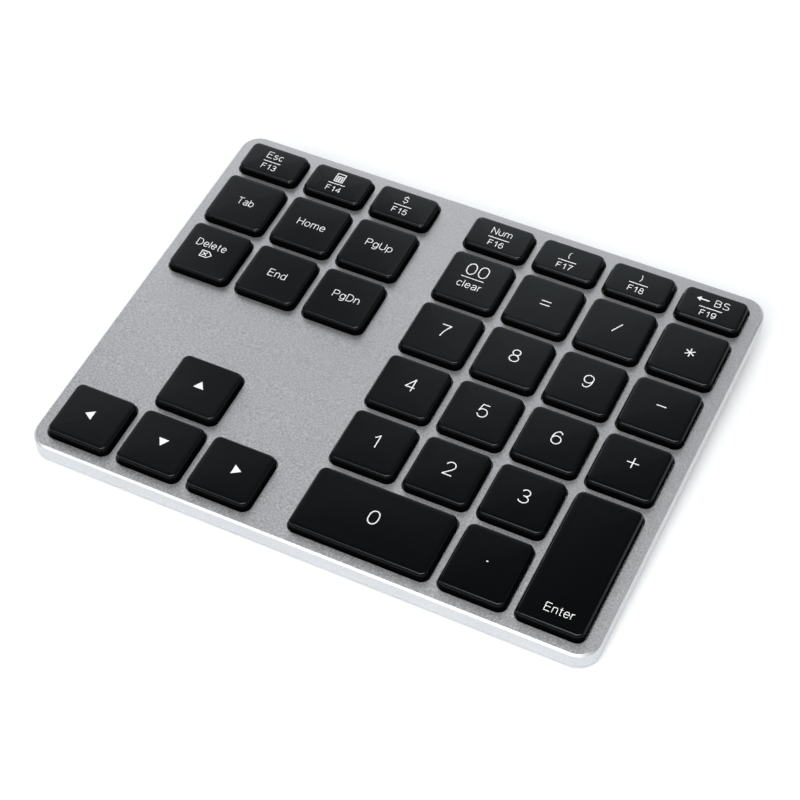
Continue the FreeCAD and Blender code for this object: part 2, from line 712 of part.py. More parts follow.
def tail_slot():
    """The slot in the plate that the membrane's tail passes through."""
    return box(TAIL_LEFT - 0.5, TAIL_RIGHT + 0.5, TAIL_Y - 0.4, TAIL_Y + 0.9,
               PLATE_BOTTOM - BEYOND, PLATE_TOP + BEYOND)


def stabiliser_wire():
    """A bent wire: a bar that turns in the plate's clips, and two arms with inward hooks."""
    slope = math.radians(WIRE_REST_DEG)
    end_y = WIRE_BAR_OFFSET - WIRE_ARM * math.cos(slope)
    end_z = WIRE_BAR_Z + WIRE_ARM * math.sin(slope)
    corners = []
    for sx in (-1, 1):
        corners.append([Vector(sx * WIRE_HALF_SPAN, WIRE_BAR_OFFSET, WIRE_BAR_Z),
                        Vector(sx * WIRE_HALF_SPAN, end_y, end_z),
                        Vector(sx * (WIRE_HALF_SPAN - WIRE_HOOK), end_y, end_z)])
    runs = [(corners[0][0], corners[1][0])]
    for side in corners:
        runs += list(zip(side, side[1:]))
    rods = []
    for start, end in runs:
        rods.append(Part.makeCylinder(WIRE_RADIUS, (end - start).Length, start, end - start))
    knees = [Part.makeSphere(WIRE_RADIUS, point) for side in corners for point in side[:2]]
    return rods[0].fuse(rods[1:] + knees)


# ---------------------------------------------------------------- electronics

def board_notch(x, width, front):
    """Cuts a notch into the board's rear edge."""
    return box(x - width / 2, x + width / 2, front, BOARD_REAR + BEYOND,
               BOARD_BOTTOM - BEYOND, BOARD_TOP + BEYOND)


def main_board():
    """The circuit board in the hump, notched for the charging port and the slide switch."""
    board = box(BOARD_LEFT, BOARD_RIGHT, BOARD_FRONT, BOARD_REAR, BOARD_BOTTOM, BOARD_TOP)
    notches = [board_notch(PORT_X, PORT_WIDTH + 0.46, PORT_REAR - PORT_LENGTH - 0.2),
               board_notch(SWITCH_X, SWITCH_WIDTH + 0.4, BOARD_REAR - SWITCH_DEPTH - 0.4)]
    return board.cut(notches + board_pegs(0.1))


def chip(x, y, width, depth, height):
    """One part on the board, with its front left corner at (x, y)."""
    return box(x, x + width, y, y + depth, BOARD_TOP, BOARD_TOP + height)


def board_chips():
    """Controller, charger, crystal, light and small parts on the board."""
    chips = [chip(-34, 40, 6, 6, 0.9), chip(-9, 47.5, 3, 3, 0.8), chip(-26.5, 35, 3.2, 1.6, 0.7),
             chip(LIGHT_X - 0.8, 51.2, 1.6, 0.8, 0.8)]
    chips += [chip(-36 + 2.2 * i, 39, 1, 0.5, 0.4) for i in range(6)]
    chips += [chip(-12.4, 44 + 1.6 * i, 1, 0.5, 0.4) for i in range(4)]
    return Part.makeCompound(chips)


def radio_module():
    """The radio under its shield can."""
    can = rounded_block(RADIO_WIDTH, RADIO_DEPTH, 0.5, BOARD_TOP, BOARD_TOP + RADIO_HEIGHT, RADIO_X, RADIO_Y)
    inside = rounded_block(RADIO_WIDTH - 2 * RADIO_WALL, RADIO_DEPTH - 2 * RADIO_WALL, 0.3,
                           BOARD_TOP - BEYOND, BOARD_TOP + RADIO_HEIGHT - RADIO_WALL, RADIO_X, RADIO_Y)
    return can.cut(inside)


def membrane_connector():
    """The flat connector that takes the membrane's tail."""
    block = box(TAIL_LEFT - 1, TAIL_RIGHT + 1, TAIL_Y + 0.6, TAIL_Y + 3.2, BOARD_TOP, TAIL_Z + 0.9)
    mouth = box(TAIL_LEFT - 0.1, TAIL_RIGHT + 0.1, TAIL_Y, TAIL_Y + 2.6, TAIL_Z - 0.05, TAIL_Z + 0.35)
    return block.cut(mouth)


def usb_port():
    """A charging socket: a steel shell, a closed back and a tongue."""
    front = PORT_REAR - PORT_LENGTH
    shell = stadium(PORT_WIDTH, PORT_HEIGHT, PORT_X, PORT_Z, front, PORT_REAR)
    hollow = stadium(PORT_WIDTH - 2 * PORT_SHELL, PORT_HEIGHT - 2 * PORT_SHELL, PORT_X, PORT_Z,
                     front + PORT_BACK, PORT_REAR + BEYOND)
    half_x = PORT_TONGUE_WIDTH / 2
    half_z = PORT_TONGUE_THICKNESS / 2
    tongue = box(PORT_X - half_x, PORT_X + half_x, front + PORT_BACK - ROOT, PORT_REAR - 1.2,
                 PORT_Z - half_z, PORT_Z + half_z)
    return shell.cut(hollow).fuse(tongue)


def power_switch_body():
    """The housing of the slide switch, beside the rear wall."""
    rear = HUMP_REAR - HUMP_WALL - 0.1
    half_x = SWITCH_WIDTH / 2
    half_z = SWITCH_HEIGHT / 2
    housing = box(SWITCH_X - half_x, SWITCH_X + half_x, rear - SWITCH_DEPTH, rear,
                  SWITCH_Z - half_z, SWITCH_Z + half_z)
    half_slot = (KNOB_WIDTH + KNOB_TRAVEL) / 2 + KNOB_GAP
    half_height = KNOB_HALF_HEIGHT + 0.15
    pocket = box(SWITCH_X - half_slot, SWITCH_X + half_slot, rear - SWITCH_DEPTH / 2, rear + BEYOND,
                 SWITCH_Z - half_height, SWITCH_Z + half_height)
    return housing.cut(pocket)


def power_switch_knob():
    """The sliding knob, at its left stop, with three finger ridges."""
    left = SWITCH_X - (KNOB_WIDTH + KNOB_TRAVEL) / 2
    rear = PORT_REAR
    low = SWITCH_Z - KNOB_HALF_HEIGHT
    high = SWITCH_Z + KNOB_HALF_HEIGHT
    knob = box(left, left + KNOB_WIDTH, HUMP_REAR - HUMP_WALL - 1.6, rear - 0.3, low, high)
    pitch = (KNOB_WIDTH - KNOB_RIDGE - 0.6) / 2
    starts = [left + 0.3 + pitch * i for i in range(3)]
    ridges = [box(x, x + KNOB_RIDGE, rear - 0.4, rear, low, high) for x in starts]
    return knob.fuse(ridges)


def status_light_pipe():
    """A clear pipe from the board's light to the rear wall."""
    return stadium(LIGHT_WIDTH, LIGHT_HEIGHT, LIGHT_X, LIGHT_Z, LIGHT_FRONT, HUMP_REAR)


def pairing_button():
    """A plunger in the hump's floor, with a flange inside that keeps it from falling out."""
    top = hump_floor(BUTTON_Y) + BUTTON_FLANGE_LIFT
    stem = upright(BUTTON_RADIUS, hump_bottom(BUTTON_Y) + 0.1, top, BUTTON_X, BUTTON_Y)
    flange = upright(BUTTON_FLANGE_RADIUS, top - 0.26, top, BUTTON_X, BUTTON_Y)
    return stem.fuse(flange)


def pairing_switch():
    """The small switch under the board; its tip is just beyond the plunger's travel."""
    half = BUTTON_SWITCH_WIDTH / 2
    body = box(BUTTON_X - half, BUTTON_X + half, BUTTON_Y - half, BUTTON_Y + half,
               BOARD_BOTTOM - 0.35, BOARD_BOTTOM)
    tip = hump_floor(BUTTON_Y) + BUTTON_FLANGE_LIFT + BUTTON_TRAVEL + 0.04
    return body.fuse(upright(0.7, tip, BOARD_BOTTOM - 0.2, BUTTON_X, BUTTON_Y))


def battery_cell():
    """A flat pouch cell with rounded sides."""
    return rounded_block(BATTERY_LENGTH, BATTERY_WIDTH, BATTERY_CORNER, BATTERY_BOTTOM, BATTERY_TOP,
                         BATTERY_X, BATTERY_Y)


def battery_tape():
    """Foam tape between the cell and the plate."""
    return box(BATTERY_X - 15, BATTERY_X + 15, BATTERY_Y - 11, BATTERY_Y + 2, BATTERY_TOP, PLATE_BOTTOM)


def battery_leads():
    """Two leads from the cell to the board."""
    end_x = BOARD_RIGHT - 2.5
    start_x = BATTERY_X - BATTERY_LENGTH / 2
    level = BOARD_TOP + LEAD_RADIUS
    leads = [Part.makeCylinder(LEAD_RADIUS, start_x - end_x, Vector(end_x, y, level), X_AXIS)
             for y in (BATTERY_Y - LEAD_SPACING / 2, BATTERY_Y + LEAD_SPACING / 2)]
    return Part.makeCompound(leads)


# ---------------------------------------------------------------- screws

def plate_screws():
    """Pan-head screws from below the plate into the short posts."""
    head = PLATE_BOTTOM - SCREW_HEAD_HEIGHT
    screws = []
    for x, y in plate_screw_places():
        shaft = upright(SCREW_SHAFT, PLATE_BOTTOM, SCREW_END, x, y)
        cap = upright(SCREW_HEAD, head, PLATE_BOTTOM, x, y)
        screws.append(shaft.fuse(cap))
    return Part.makeCompound(screws)


def cover_screws():
    """Countersunk screws through the cover into the long posts, each with a cross recess."""
    screws = []
    for x, y in cover_screw_places():
        start = Vector(x, y, COVER_BOTTOM + 0.05)
        head = Part.makeCone(COUNTERSINK_RADIUS - 0.1, SCREW_SHAFT, COUNTERSINK_DEPTH, start, Z_AXIS)
        shaft = upright(SCREW_SHAFT, COVER_BOTTOM + 0.3, SCREW_END, x, y)
        recess = [box(x - long / 2, x + long / 2, y - short / 2, y + short / 2,
                      COVER_BOTTOM - BEYOND, COVER_BOTTOM + CROSS_DEPTH)
                  for long, short in ((CROSS_LENGTH, CROSS_WIDTH), (CROSS_WIDTH, CROSS_LENGTH))]
        screws.append(head.fuse(shaft).cut(recess))
    return Part.makeCompound(screws)


# ---------------------------------------------------------------- the whole keypad

def build():
    """Write every node."""
    keys = key_layout()
    caps = {}
    for name, x, y, width, depth in keys:
        size = (width, depth)
        if size not in caps:
            caps[size] = key_cap(name, width, depth)
        save("key_" + name, moved(caps[size], x, y))

    save("top_case", top_case(keys))
    save("bottom_cover", bottom_cover())
    save("rubber_feet", rubber_feet())
    save("support_plate", support_plate(keys))
    save("membrane", membrane(keys))
    save("rubber_domes", rubber_domes(keys))
    save("scissor_outer_levers", levers(keys, outer_lever))
    save("scissor_inner_levers", levers(keys, inner_lever))
    wire = stabiliser_wire()
    save("zero_stabiliser_wire", moved(wire, ZERO_X, LAST_ROW_Y))
    save("enter_stabiliser_wire", moved(turned(wire, lever_turn("enter")), COLUMNS[6], ENTER_Y))

    save("main_board", main_board())
    save("board_chips", board_chips())
    save("radio_module", radio_module())
    save("membrane_connector", membrane_connector())
    save("usb_port", usb_port())
    save("power_switch_body", power_switch_body())
    save("power_switch_knob", power_switch_knob())
    save("status_light_pipe", status_light_pipe())
    save("pairing_button", pairing_button())
    save("pairing_switch", pairing_switch())
    save("battery_cell", battery_cell())
    save("battery_tape", battery_tape())
    save("battery_leads", battery_leads())
    save("plate_screws", plate_screws())
    save("cover_screws", cover_screws())


build()
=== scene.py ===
"""Looks of the numeric keypad: aluminium case, black caps with white legends, and the mechanism inside.

Everything on the keypad is laid out in plate coordinates, in millimetres: X to the right, Y to the rear
and Z up from the top face of the case, with the middle of that face at zero. PLATE carries them to the
row frame, which is in metres.
"""

import json
import math

import bmesh
import bpy
from mathutils import Matrix, Vector
from mathutils.geometry import delaunay_2d_cdt


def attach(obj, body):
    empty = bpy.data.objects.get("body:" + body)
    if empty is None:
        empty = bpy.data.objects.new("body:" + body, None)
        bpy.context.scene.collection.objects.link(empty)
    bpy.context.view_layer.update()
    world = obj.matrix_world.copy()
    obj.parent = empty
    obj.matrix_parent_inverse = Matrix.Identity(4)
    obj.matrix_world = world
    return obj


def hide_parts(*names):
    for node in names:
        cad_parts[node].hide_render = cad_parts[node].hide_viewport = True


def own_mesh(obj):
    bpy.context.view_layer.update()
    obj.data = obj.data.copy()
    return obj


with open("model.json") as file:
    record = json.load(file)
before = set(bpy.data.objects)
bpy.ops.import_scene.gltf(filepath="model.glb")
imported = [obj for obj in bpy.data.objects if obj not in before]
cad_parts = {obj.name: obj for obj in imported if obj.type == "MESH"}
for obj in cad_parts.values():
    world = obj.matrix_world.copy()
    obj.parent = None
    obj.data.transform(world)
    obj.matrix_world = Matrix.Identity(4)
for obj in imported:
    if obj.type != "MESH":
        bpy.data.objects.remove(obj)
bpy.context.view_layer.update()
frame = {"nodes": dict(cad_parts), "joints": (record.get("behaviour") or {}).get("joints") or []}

MM = 0.001
NODES = frame["nodes"]
JOINTS = {joint["name"]: joint for joint in frame["joints"]}
CASE_BODY = "case"

# Key caps
CAP_TOP = 2.22
CAP_SHOULDER = 1.6          # where the bevel begins
CAP_SKIRT = -0.9            # the lower edge
CAP_CORNER = 1.9
LEAST_CORNER = 0.02         # no corner radius gets smaller than this
CORNER_STEPS = 8
CAP_WALL = 1.0
CAP_CEILING = 1.1
CEILING_BEVEL = 0.15
SKIRT_BEVEL = 0.05
CAP_CROWN = 0.07            # the middle of a top face stands this much above its corners
# The outside of a cap, from its lower edge to its top face: how far in from the widest outline, and height
CAP_PROFILE = [(0.06, -0.9), (0.0, -0.84), (0.0, 1.48), (0.0, 1.54), (0.02, 1.6), (0.05, 1.65),
               (0.09, 1.7), (0.36, 2.045), (0.39, 2.08), (0.43, 2.115), (0.48, 2.145), (0.54, 2.162),
               (0.61, 2.169), (0.67, 2.172)]
# The rings of the top face, as parts of the way from its edge to its middle
CROWN_RINGS = (0.12, 0.3, 0.5, 0.7, 0.88)

# The clips under a cap, four round its middle
CLIP_X = 5.8
CLIP_Y = 2.0
CLIP_HALF_X = 0.3
CLIP_HALF_Y = 0.8
CLIP_BOTTOM = 0.1
CLIP_ROOT = 0.02            # how far a clip reaches into the ceiling

# The small lens in the corner of one cap
LENS_RADIUS = 0.3
LENS_INSET = 1.35
LENS_STEPS = 20

# Mechanism
MEMBRANE_TOP = -3.0
DOME_STEPS = 28
DOME_FOOT = 2.5
SMALL_DOME_FOOT = 1.9       # under the half-height keys
HALF_HEIGHT_KEY = 12        # a key less deep than this is one of them

# Legends
INK_THICKNESS = 0.02
INK_SINK = 0.006            # how far the ink reaches into the cap
LEGEND_RIGHT = 0.08         # all legends sit this much right of the middle of their caps
LEGEND_FRONT = 0.08         # and this much in front of it
LINE_WIDTH = 0.23
WORD_STROKE = 0.19
FIGURE_STROKE = 0.27
ICON_STROKE = 0.24
BOLD_STROKE = 0.36
WORD_HEIGHT = 2.35
UPPER_HEIGHT = 2.25         # the upper word of a two-part legend
LOWER_HEIGHT = 1.9          # its function number
LOWER_WIDTH = 4.2
FIGURE_HEIGHT = 4.0
FIGURE_WIDTH = 2.7
# How far to the rear of the middle of the cap
UPPER_RISE = 1.9
LINE_RISE = -0.35
LOWER_RISE = -2.2
FIGURE_RISE = 0.65
# How strokes are drawn
SIGN_GAP = 0.23             # where a capital is 1 high
ARC_STEP = 15               # in degrees
SHARP_CORNER = 1.7          # in radians
MITRE_LIMIT = 1.5
SAME_POINT = 1e-4

# The grain of the case
GRAIN_REACH = 0.05          # in metres, from the middle of the case to where the grain stops changing
FRONT_GRAIN = 1.15
REAR_GRAIN = 0.45
UPRIGHT_GRAIN = 0.25

# The chamfer of the case, with its cut finish and painted highlight, is what looks up neither too little
# nor too much
CHAMFER_LEAST_UP = 0.3
CHAMFER_MOST_UP = 0.95

# Camera, in plate coordinates
CAMERA_AZIMUTH = 29.005
CAMERA_ELEVATION = 52.163
CAMERA_ROLL = -3.603
CAMERA_DISTANCE = 505.75
CAMERA_TARGET = (3.135, -8.469, 0.0)
CAMERA_LENS = 94.36
CAMERA_SENSOR = 36.0

# The studio round the keypad: a bright wall, and a dark round spot that the rear left key tops mirror
STUDIO_STRENGTH = 1.3
BRIGHT_WALL_AZIMUTH = 211
BRIGHT_WALL_ELEVATION = 20
# Brightness from the far side of the studio to the middle of the wall: nearness to that middle, and level
WALL_LEVELS = [(0.3, 0.14), (0.65, 0.02), (0.785, 0.01), (0.8, 0.09), (0.82, 0.34), (0.85, 0.5),
               (0.87, 0.54), (0.89, 0.84), (0.93, 1.25), (0.98, 1.05)]
WALL_TINT = (1.0, 1.01, 1.03)
DARK_SPOT_AZIMUTH = 214.6
DARK_SPOT_ELEVATION = 49.7
DARK_SPOT_EDGE = 4.9        # in degrees from its middle
DARK_SPOT_CORE = 3.0        # within this it is darkest
DARK_SPOT_LEVEL = 0.05

# Floor, in metres: its faint glow near the keypad is painted light that lightens the keypad's shadow
FLOOR_REACH = 8.0
GLOW_NEAR = 0.3
GLOW_FAR = 1.3
GLOW_LEAST = 0.09


# ---------------------------------------------------------------- plate coordinates

def plate_matrix():
    """Plate coordinates in millimetres to the row frame in metres, read from the case and a key's joint."""
    press = JOINTS["press_key_5"]["axis"]
    turn = Matrix.Rotation(math.atan2(press[1], -press[2]), 4, "X")
    flat = [turn.inverted() @ v.co for v in NODES["top_case"].data.vertices]
    top = max(p.z for p in flat)
    middle = (min(p.y for p in flat) + max(p.y for p in flat)) / 2
    return turn @ Matrix.Translation((0, middle, top)) @ Matrix.Scale(MM, 4)


PLATE = plate_matrix()
TO_PLATE = PLATE.inverted()
UP = (PLATE.to_3x3() @ Vector((0, 0, 1))).normalized()


def plate_box(points):
    """Lowest and highest corner of some row-frame points, in plate coordinates."""
    flat = [TO_PLATE @ p for p in points]
    low = Vector([min(p[i] for p in flat) for i in range(3)])
    high = Vector([max(p[i] for p in flat) for i in range(3)])
    return low, high


KEYS = {}
for node_name, node in NODES.items():
    if node_name.startswith("key_"):
        low_corner, high_corner = plate_box([v.co for v in node.data.vertices])
        KEYS[node_name[4:]] = (low_corner, high_corner)


# ---------------------------------------------------------------- materials

def shader_nodes(name):
    """A new node material: the material, its tree, its shader and the object coordinates."""
    material = bpy.data.materials.new(name)
    material.use_nodes = True
    tree = material.node_tree
    shader = tree.nodes["Principled BSDF"]
    place = tree.nodes.new("ShaderNodeTexCoord").outputs["Object"]
    return material, tree, shader, place


def noise(tree, place, scale, detail=2.0, stretch=(1, 1, 1)):
    """Noise of about 1/scale metres across, stretched along the axes."""
    mapping = tree.nodes.new("ShaderNodeMapping")
    mapping.inputs["Scale"].default_value = stretch
    tree.links.new(place, mapping.inputs["Vector"])
    texture = tree.nodes.new("ShaderNodeTexNoise")
    texture.inputs["Scale"].default_value = scale
    texture.inputs["Detail"].default_value = detail
    tree.links.new(mapping.outputs["Vector"], texture.inputs["Vector"])
    return texture.outputs["Fac"]


def ramp(tree, factor, stops):
    """A colour ramp with (position, grey or colour) stops."""
    node = tree.nodes.new("ShaderNodeValToRGB")
    while len(node.color_ramp.elements) < len(stops):
        node.color_ramp.elements.new(0.5)
    for element, (position, colour) in zip(node.color_ramp.elements, stops):
        element.position = position
        rgb = (colour,) * 3 if isinstance(colour, (int, float)) else colour
        element.color = (*rgb, 1.0)
    tree.links.new(factor, node.inputs["Fac"])
    return node.outputs["Color"]


def bump(tree, shader, height, strength, distance):
    """Relief from a height texture, distance in metres."""
    node = tree.nodes.new("ShaderNodeBump")
    node.inputs["Strength"].default_value = strength
    node.inputs["Distance"].default_value = distance
    tree.links.new(height, node.inputs["Height"])
    tree.links.new(node.outputs["Normal"], shader.inputs["Normal"])


def surface(name, colours, roughness, grain, relief, metallic=0.0, detail=2.0, stretch=(1, 1, 1),
            specular=0.5, tint=(1, 1, 1)):
    """A material with a grain: colours and roughness vary between two values over noise of that scale."""
    material, tree, shader, place = shader_nodes(name)
    fac = noise(tree, place, grain, detail, stretch)
    tree.links.new(ramp(tree, fac, [(0.3, colours[0]), (0.7, colours[1])]), shader.inputs["Base Color"])
    tree.links.new(ramp(tree, fac, [(0.3, roughness[0]), (0.7, roughness[1])]), shader.inputs["Roughness"])
    shader.inputs["Metallic"].default_value = metallic
    shader.inputs["Specular IOR Level"].default_value = specular
    shader.inputs["Specular Tint"].default_value = (*tint, 1)
    bump(tree, shader, fac, relief[0], relief[1])
    return material


def map_range(tree, value, start, end, low, high):
    """A value carried from between start and end to between low and high, and kept within those."""
    node = tree.nodes.new("ShaderNodeMapRange")
    node.inputs["From Min"].default_value = start
    node.inputs["From Max"].default_value = end
    node.inputs["To Min"].default_value = low
    node.inputs["To Max"].default_value = high
    tree.links.new(value, node.inputs["Value"])
    return node.outputs["Result"]


def arithmetic(tree, operation, first, second):
    """One step of arithmetic between a socket and a socket or number."""
    node = tree.nodes.new("ShaderNodeMath")
    node.operation = operation
    for socket, value in zip(node.inputs, (first, second)):
        if isinstance(value, (int, float)):
            socket.default_value = value
        else:
            tree.links.new(value, socket)
    return node.outputs["Value"]


def facing_up(tree):
    """How strong the grain shows: in full on faces that look up, and least on upright ones."""
    split = tree.nodes.new("ShaderNodeSeparateXYZ")
    tree.links.new(tree.nodes.new("ShaderNodeTexCoord").outputs["Normal"], split.inputs["Vector"])
    return map_range(tree, split.outputs["Z"], 0.6, 0.98, UPRIGHT_GRAIN, 1.0)


def towards_front(tree, place):
    """How strong the grain shows: in full at the front of the case, and less than half at its rear."""
    split = tree.nodes.new("ShaderNodeSeparateXYZ")
    tree.links.new(place, split.inputs["Vector"])
    return map_range(tree, split.outputs["Y"], -GRAIN_REACH, GRAIN_REACH, FRONT_GRAIN, REAR_GRAIN)


def anodised_aluminium():
    """Bead-blasted and anodised: its grain is strongest on the face, towards the front."""
    material, tree, shader, place = shader_nodes("anodised_aluminium")
    rough_grain = arithmetic(tree, "SUBTRACT", noise(tree, place, 2300, 3.0), 0.5)
    strength = arithmetic(tree, "MULTIPLY", facing_up(tree), towards_front(tree, place))
    grain = arithmetic(tree, "ADD", arithmetic(tree, "MULTIPLY", rough_grain, strength), 0.5)
    broad = noise(tree, place, 35)
    fine = ramp(tree, grain, [(0.2, (0.41, 0.418, 0.435)), (0.5, (0.64, 0.648, 0.665)),
                              (0.8, (0.88, 0.887, 0.905))])
    wide = ramp(tree, broad, [(0.3, 0.96), (0.7, 1.0)])
    mix = tree.nodes.new("ShaderNodeMixRGB")
    mix.blend_type = "MULTIPLY"
    mix.inputs["Fac"].default_value = 1.0
    tree.links.new(fine, mix.inputs["Color1"])
    tree.links.new(wide, mix.inputs["Color2"])
    tree.links.new(mix.outputs["Color"], shader.inputs["Base Color"])
    tree.links.new(ramp(tree, grain, [(0.3, 0.44), (0.7, 0.43)]), shader.inputs["Roughness"])
    shader.inputs["Metallic"].default_value = 1.0
    bump(tree, shader, grain, 0.35, 0.00008)
    return material


def tracked(name, density, width, grounds, track, roughness, grain, relief):
    """A printed sheet: two close ground colours, between fine tracks of another colour."""
    material, tree, shader, place = shader_nodes(name)
    bricks = tree.nodes.new("ShaderNodeTexBrick")
    bricks.inputs["Scale"].default_value = density
    bricks.inputs["Mortar Size"].default_value = width
    bricks.inputs["Color1"].default_value = (*grounds[0], 1)
    bricks.inputs["Color2"].default_value = (*grounds[1], 1)
    bricks.inputs["Mortar"].default_value = (*track, 1)
    tree.links.new(place, bricks.inputs["Vector"])
    tree.links.new(bricks.outputs["Color"], shader.inputs["Base Color"])
    fac = noise(tree, place, grain)
    tree.links.new(ramp(tree, fac, [(0.3, roughness[0]), (0.7, roughness[1])]), shader.inputs["Roughness"])
    bump(tree, shader, bricks.outputs["Fac"], relief[0], relief[1])
    return material


BRUSHED = (1, 12, 1)
MATERIALS = {
    "aluminium": anodised_aluminium(),
    # The chamfer is bare cut aluminium, and its pale colour is also a painted highlight along the edge.
    "cut_edge": surface("cut_aluminium", ((0.86, 0.87, 0.885), (0.95, 0.96, 0.975)), (0.4, 0.44), 2300,
                        (0.05, 0.00003), 1.0),
    # The caps' blue specular tint is a painted blue cast on their reflections.
    "cap": surface("key_plastic", (0.0006, 0.001), (0.15, 0.2), 5200, (0.1, 0.00002),
                   tint=(0.84, 0.94, 1.0)),
    # The skirt material's matt roughness is real, and its near-lack of reflection is painted shade on the
    # cap walls down in the gaps.
    "skirt": surface("key_skirt_plastic", (0.0006, 0.001), (0.6, 0.7), 4200, (0.3, 0.00003),
                     specular=0.02),
    "lens": surface("lock_light_lens", (0.02, 0.03), (0.08, 0.14), 2500, (0.05, 0.00001)),
    "ink": surface("legend_ink", (0.80, 0.88), (0.42, 0.55), 9000, (0.1, 0.00001)),
    "cover": surface("cover_plastic", (0.014, 0.022), (0.55, 0.68), 3600, (0.4, 0.00004), detail=4.0),
    "foot": surface("foot_rubber", (0.020, 0.030), (0.78, 0.9), 2400, (0.3, 0.00004)),
    "steel": surface("plate_steel", (0.42, 0.52), (0.28, 0.4), 900, (0.1, 0.00002), 1.0, 3.0, BRUSHED),
    "wire": surface("spring_steel", (0.50, 0.62), (0.2, 0.3), 2500, (0.1, 0.00001), 1.0, 2.0, (12, 1, 1)),
    "shield": surface("tinned_steel", (0.60, 0.68), (0.25, 0.38), 1600, (0.12, 0.00001), 1.0),
    "screw": surface("screw_steel", (0.16, 0.22), (0.3, 0.42), 3000, (0.15, 0.00001), 1.0),
    "lever": surface("lever_nylon", (0.70, 0.78), (0.4, 0.5), 2200, (0.15, 0.00002)),
    "dome": surface("dome_silicone", (0.62, 0.70), (0.42, 0.55), 1500, (0.15, 0.00002)),
    "film": tracked("switch_film", 210, 0.05, ((0.62, 0.65, 0.62), (0.58, 0.61, 0.59)),
                    (0.30, 0.31, 0.32), (0.2, 0.32), 700, (0.2, 0.00002)),
    "board": tracked("circuit_board", 320, 0.06, ((0.012, 0.12, 0.045), (0.014, 0.14, 0.05)),
                     (0.05, 0.27, 0.09), (0.22, 0.34), 900, (0.3, 0.00003)),
    "epoxy": surface("chip_epoxy", (0.014, 0.022), (0.45, 0.6), 5000, (0.25, 0.00002)),
    "connector": surface("connector_plastic", (0.018, 0.026), (0.4, 0.5), 3000, (0.2, 0.00002)),
    "pipe": surface("light_pipe", (0.75, 0.82), (0.12, 0.2), 1500, (0.05, 0.00001)),
    "foil": surface("cell_foil", (0.55, 0.66), (0.3, 0.42), 500, (0.3, 0.0001), 1.0, 4.0),
    "foam": surface("foam_tape", (0.03, 0.06), (0.85, 0.95), 2600, (0.6, 0.0001), detail=5.0),
    "sleeve": surface("lead_sleeve", (0.30, 0.38), (0.4, 0.5), 2000, (0.1, 0.00001)),
}


# ---------------------------------------------------------------- mesh helpers

def finish_piece(name, mesh, material, body, crease_deg=35):
    """A piece from a bmesh in plate coordinates, smooth apart from its sharp edges, riding on a body."""
    bmesh.ops.recalc_face_normals(mesh, faces=mesh.faces)
    mesh.transform(PLATE)
    data = bpy.data.meshes.new(name)
    mesh.to_mesh(data)
    mesh.free()
    data.polygons.foreach_set("use_smooth", [True] * len(data.polygons))
    data.set_sharp_from_angle(angle=math.radians(crease_deg))
    data.materials.append(MATERIALS[material])
    piece = bpy.data.objects.new(name, data)
    bpy.context.scene.collection.objects.link(piece)
    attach(piece, body)
    return piece


def rounded_loop(low, high, inset, radius, z):
    """Points round a rounded rectangle between two corners, moved in by inset, at height z."""
    radius = max(radius - inset, LEAST_CORNER)
    half_x = (high.x - low.x) / 2 - inset
    half_y = (high.y - low.y) / 2 - inset
    middle_x = (high.x + low.x) / 2
    middle_y = (high.y + low.y) / 2
    points = []
    for quarter, (sx, sy) in enumerate(((1, 1), (-1, 1), (-1, -1), (1, -1))):
        for step in range(CORNER_STEPS + 1):
            angle = math.pi / 2 * (quarter + step / CORNER_STEPS)
            x = middle_x + sx * (half_x - radius) + radius * math.cos(angle)
            y = middle_y + sy * (half_y - radius) + radius * math.sin(angle)
            points.append(Vector((x, y, z)))
    return points


def bridge(mesh, rings):
    """Joins rings of points with quads, and closes the ends with faces."""
    loops = [[mesh.verts.new(p) for p in ring] for ring in rings]
    count = len(loops[0])
    for below, above in zip(loops, loops[1:]):
        for i in range(count):
            j = (i + 1) % count
            mesh.faces.new((below[i], below[j], above[j], above[i]))
    mesh.faces.new(loops[0][::-1])
    mesh.faces.new(loops[-1])


def circle(x, y, radius, z, steps):
    """Points round an upright axis."""
    angles = [2 * math.pi * i / steps for i in range(steps)]
    return [Vector((x + radius * math.cos(angle), y + radius * math.sin(angle), z)) for angle in angles]


def prism(mesh, outline, low, high):
    """A closed prism over an outline of (x, y) points."""
    bottom = [Vector((x, y, low)) for x, y in outline]
    top = [Vector((x, y, high)) for x, y in outline]
    bridge(mesh, [bottom, top])


def block(mesh, x0, x1, y0, y1, z0, z1):
    """A closed block between two corners."""
    prism(mesh, [(x0, y0), (x1, y0), (x1, y1), (x0, y1)], z0, z1)


# ---------------------------------------------------------------- key caps

def crown(low, high):
    """The height of a cap's top face over the plate: it is very slightly domed."""
    middle = (low + high) / 2
    half = (high - low) / 2

    def height(x, y):
        u = min(abs(x - middle.x) / half.x, 1)
        v = min(abs(y - middle.y) / half.y, 1)
        return CAP_TOP - CAP_CROWN * (u * u + v * v) / 2
    return height


def cap_rings(low, high):
    """Rings of a cap from the inner ceiling, round the skirt, to the middle of the top face."""
    inside = [(CAP_WALL + CEILING_BEVEL, CAP_CEILING), (CAP_WALL, CAP_CEILING - CEILING_BEVEL),
              (CAP_WALL, CAP_SKIRT + SKIRT_BEVEL), (CAP_WALL - SKIRT_BEVEL, CAP_SKIRT)]
    rings = [rounded_loop(low, high, inset, CAP_CORNER, z) for inset, z in inside + CAP_PROFILE]
    edge = CAP_PROFILE[-1][0]
    reach = min(high.x - low.x, high.y - low.y) / 2 - edge
    height = crown(low, high)
    for part in CROWN_RINGS:
        ring = rounded_loop(low, high, edge + part * reach, CAP_CORNER, 0)
        rings.append([Vector((p.x, p.y, height(p.x, p.y))) for p in ring])
    return rings


def lies_along_y(key):
    """The mechanism is turned a quarter under the tall key."""
    return key == "enter"


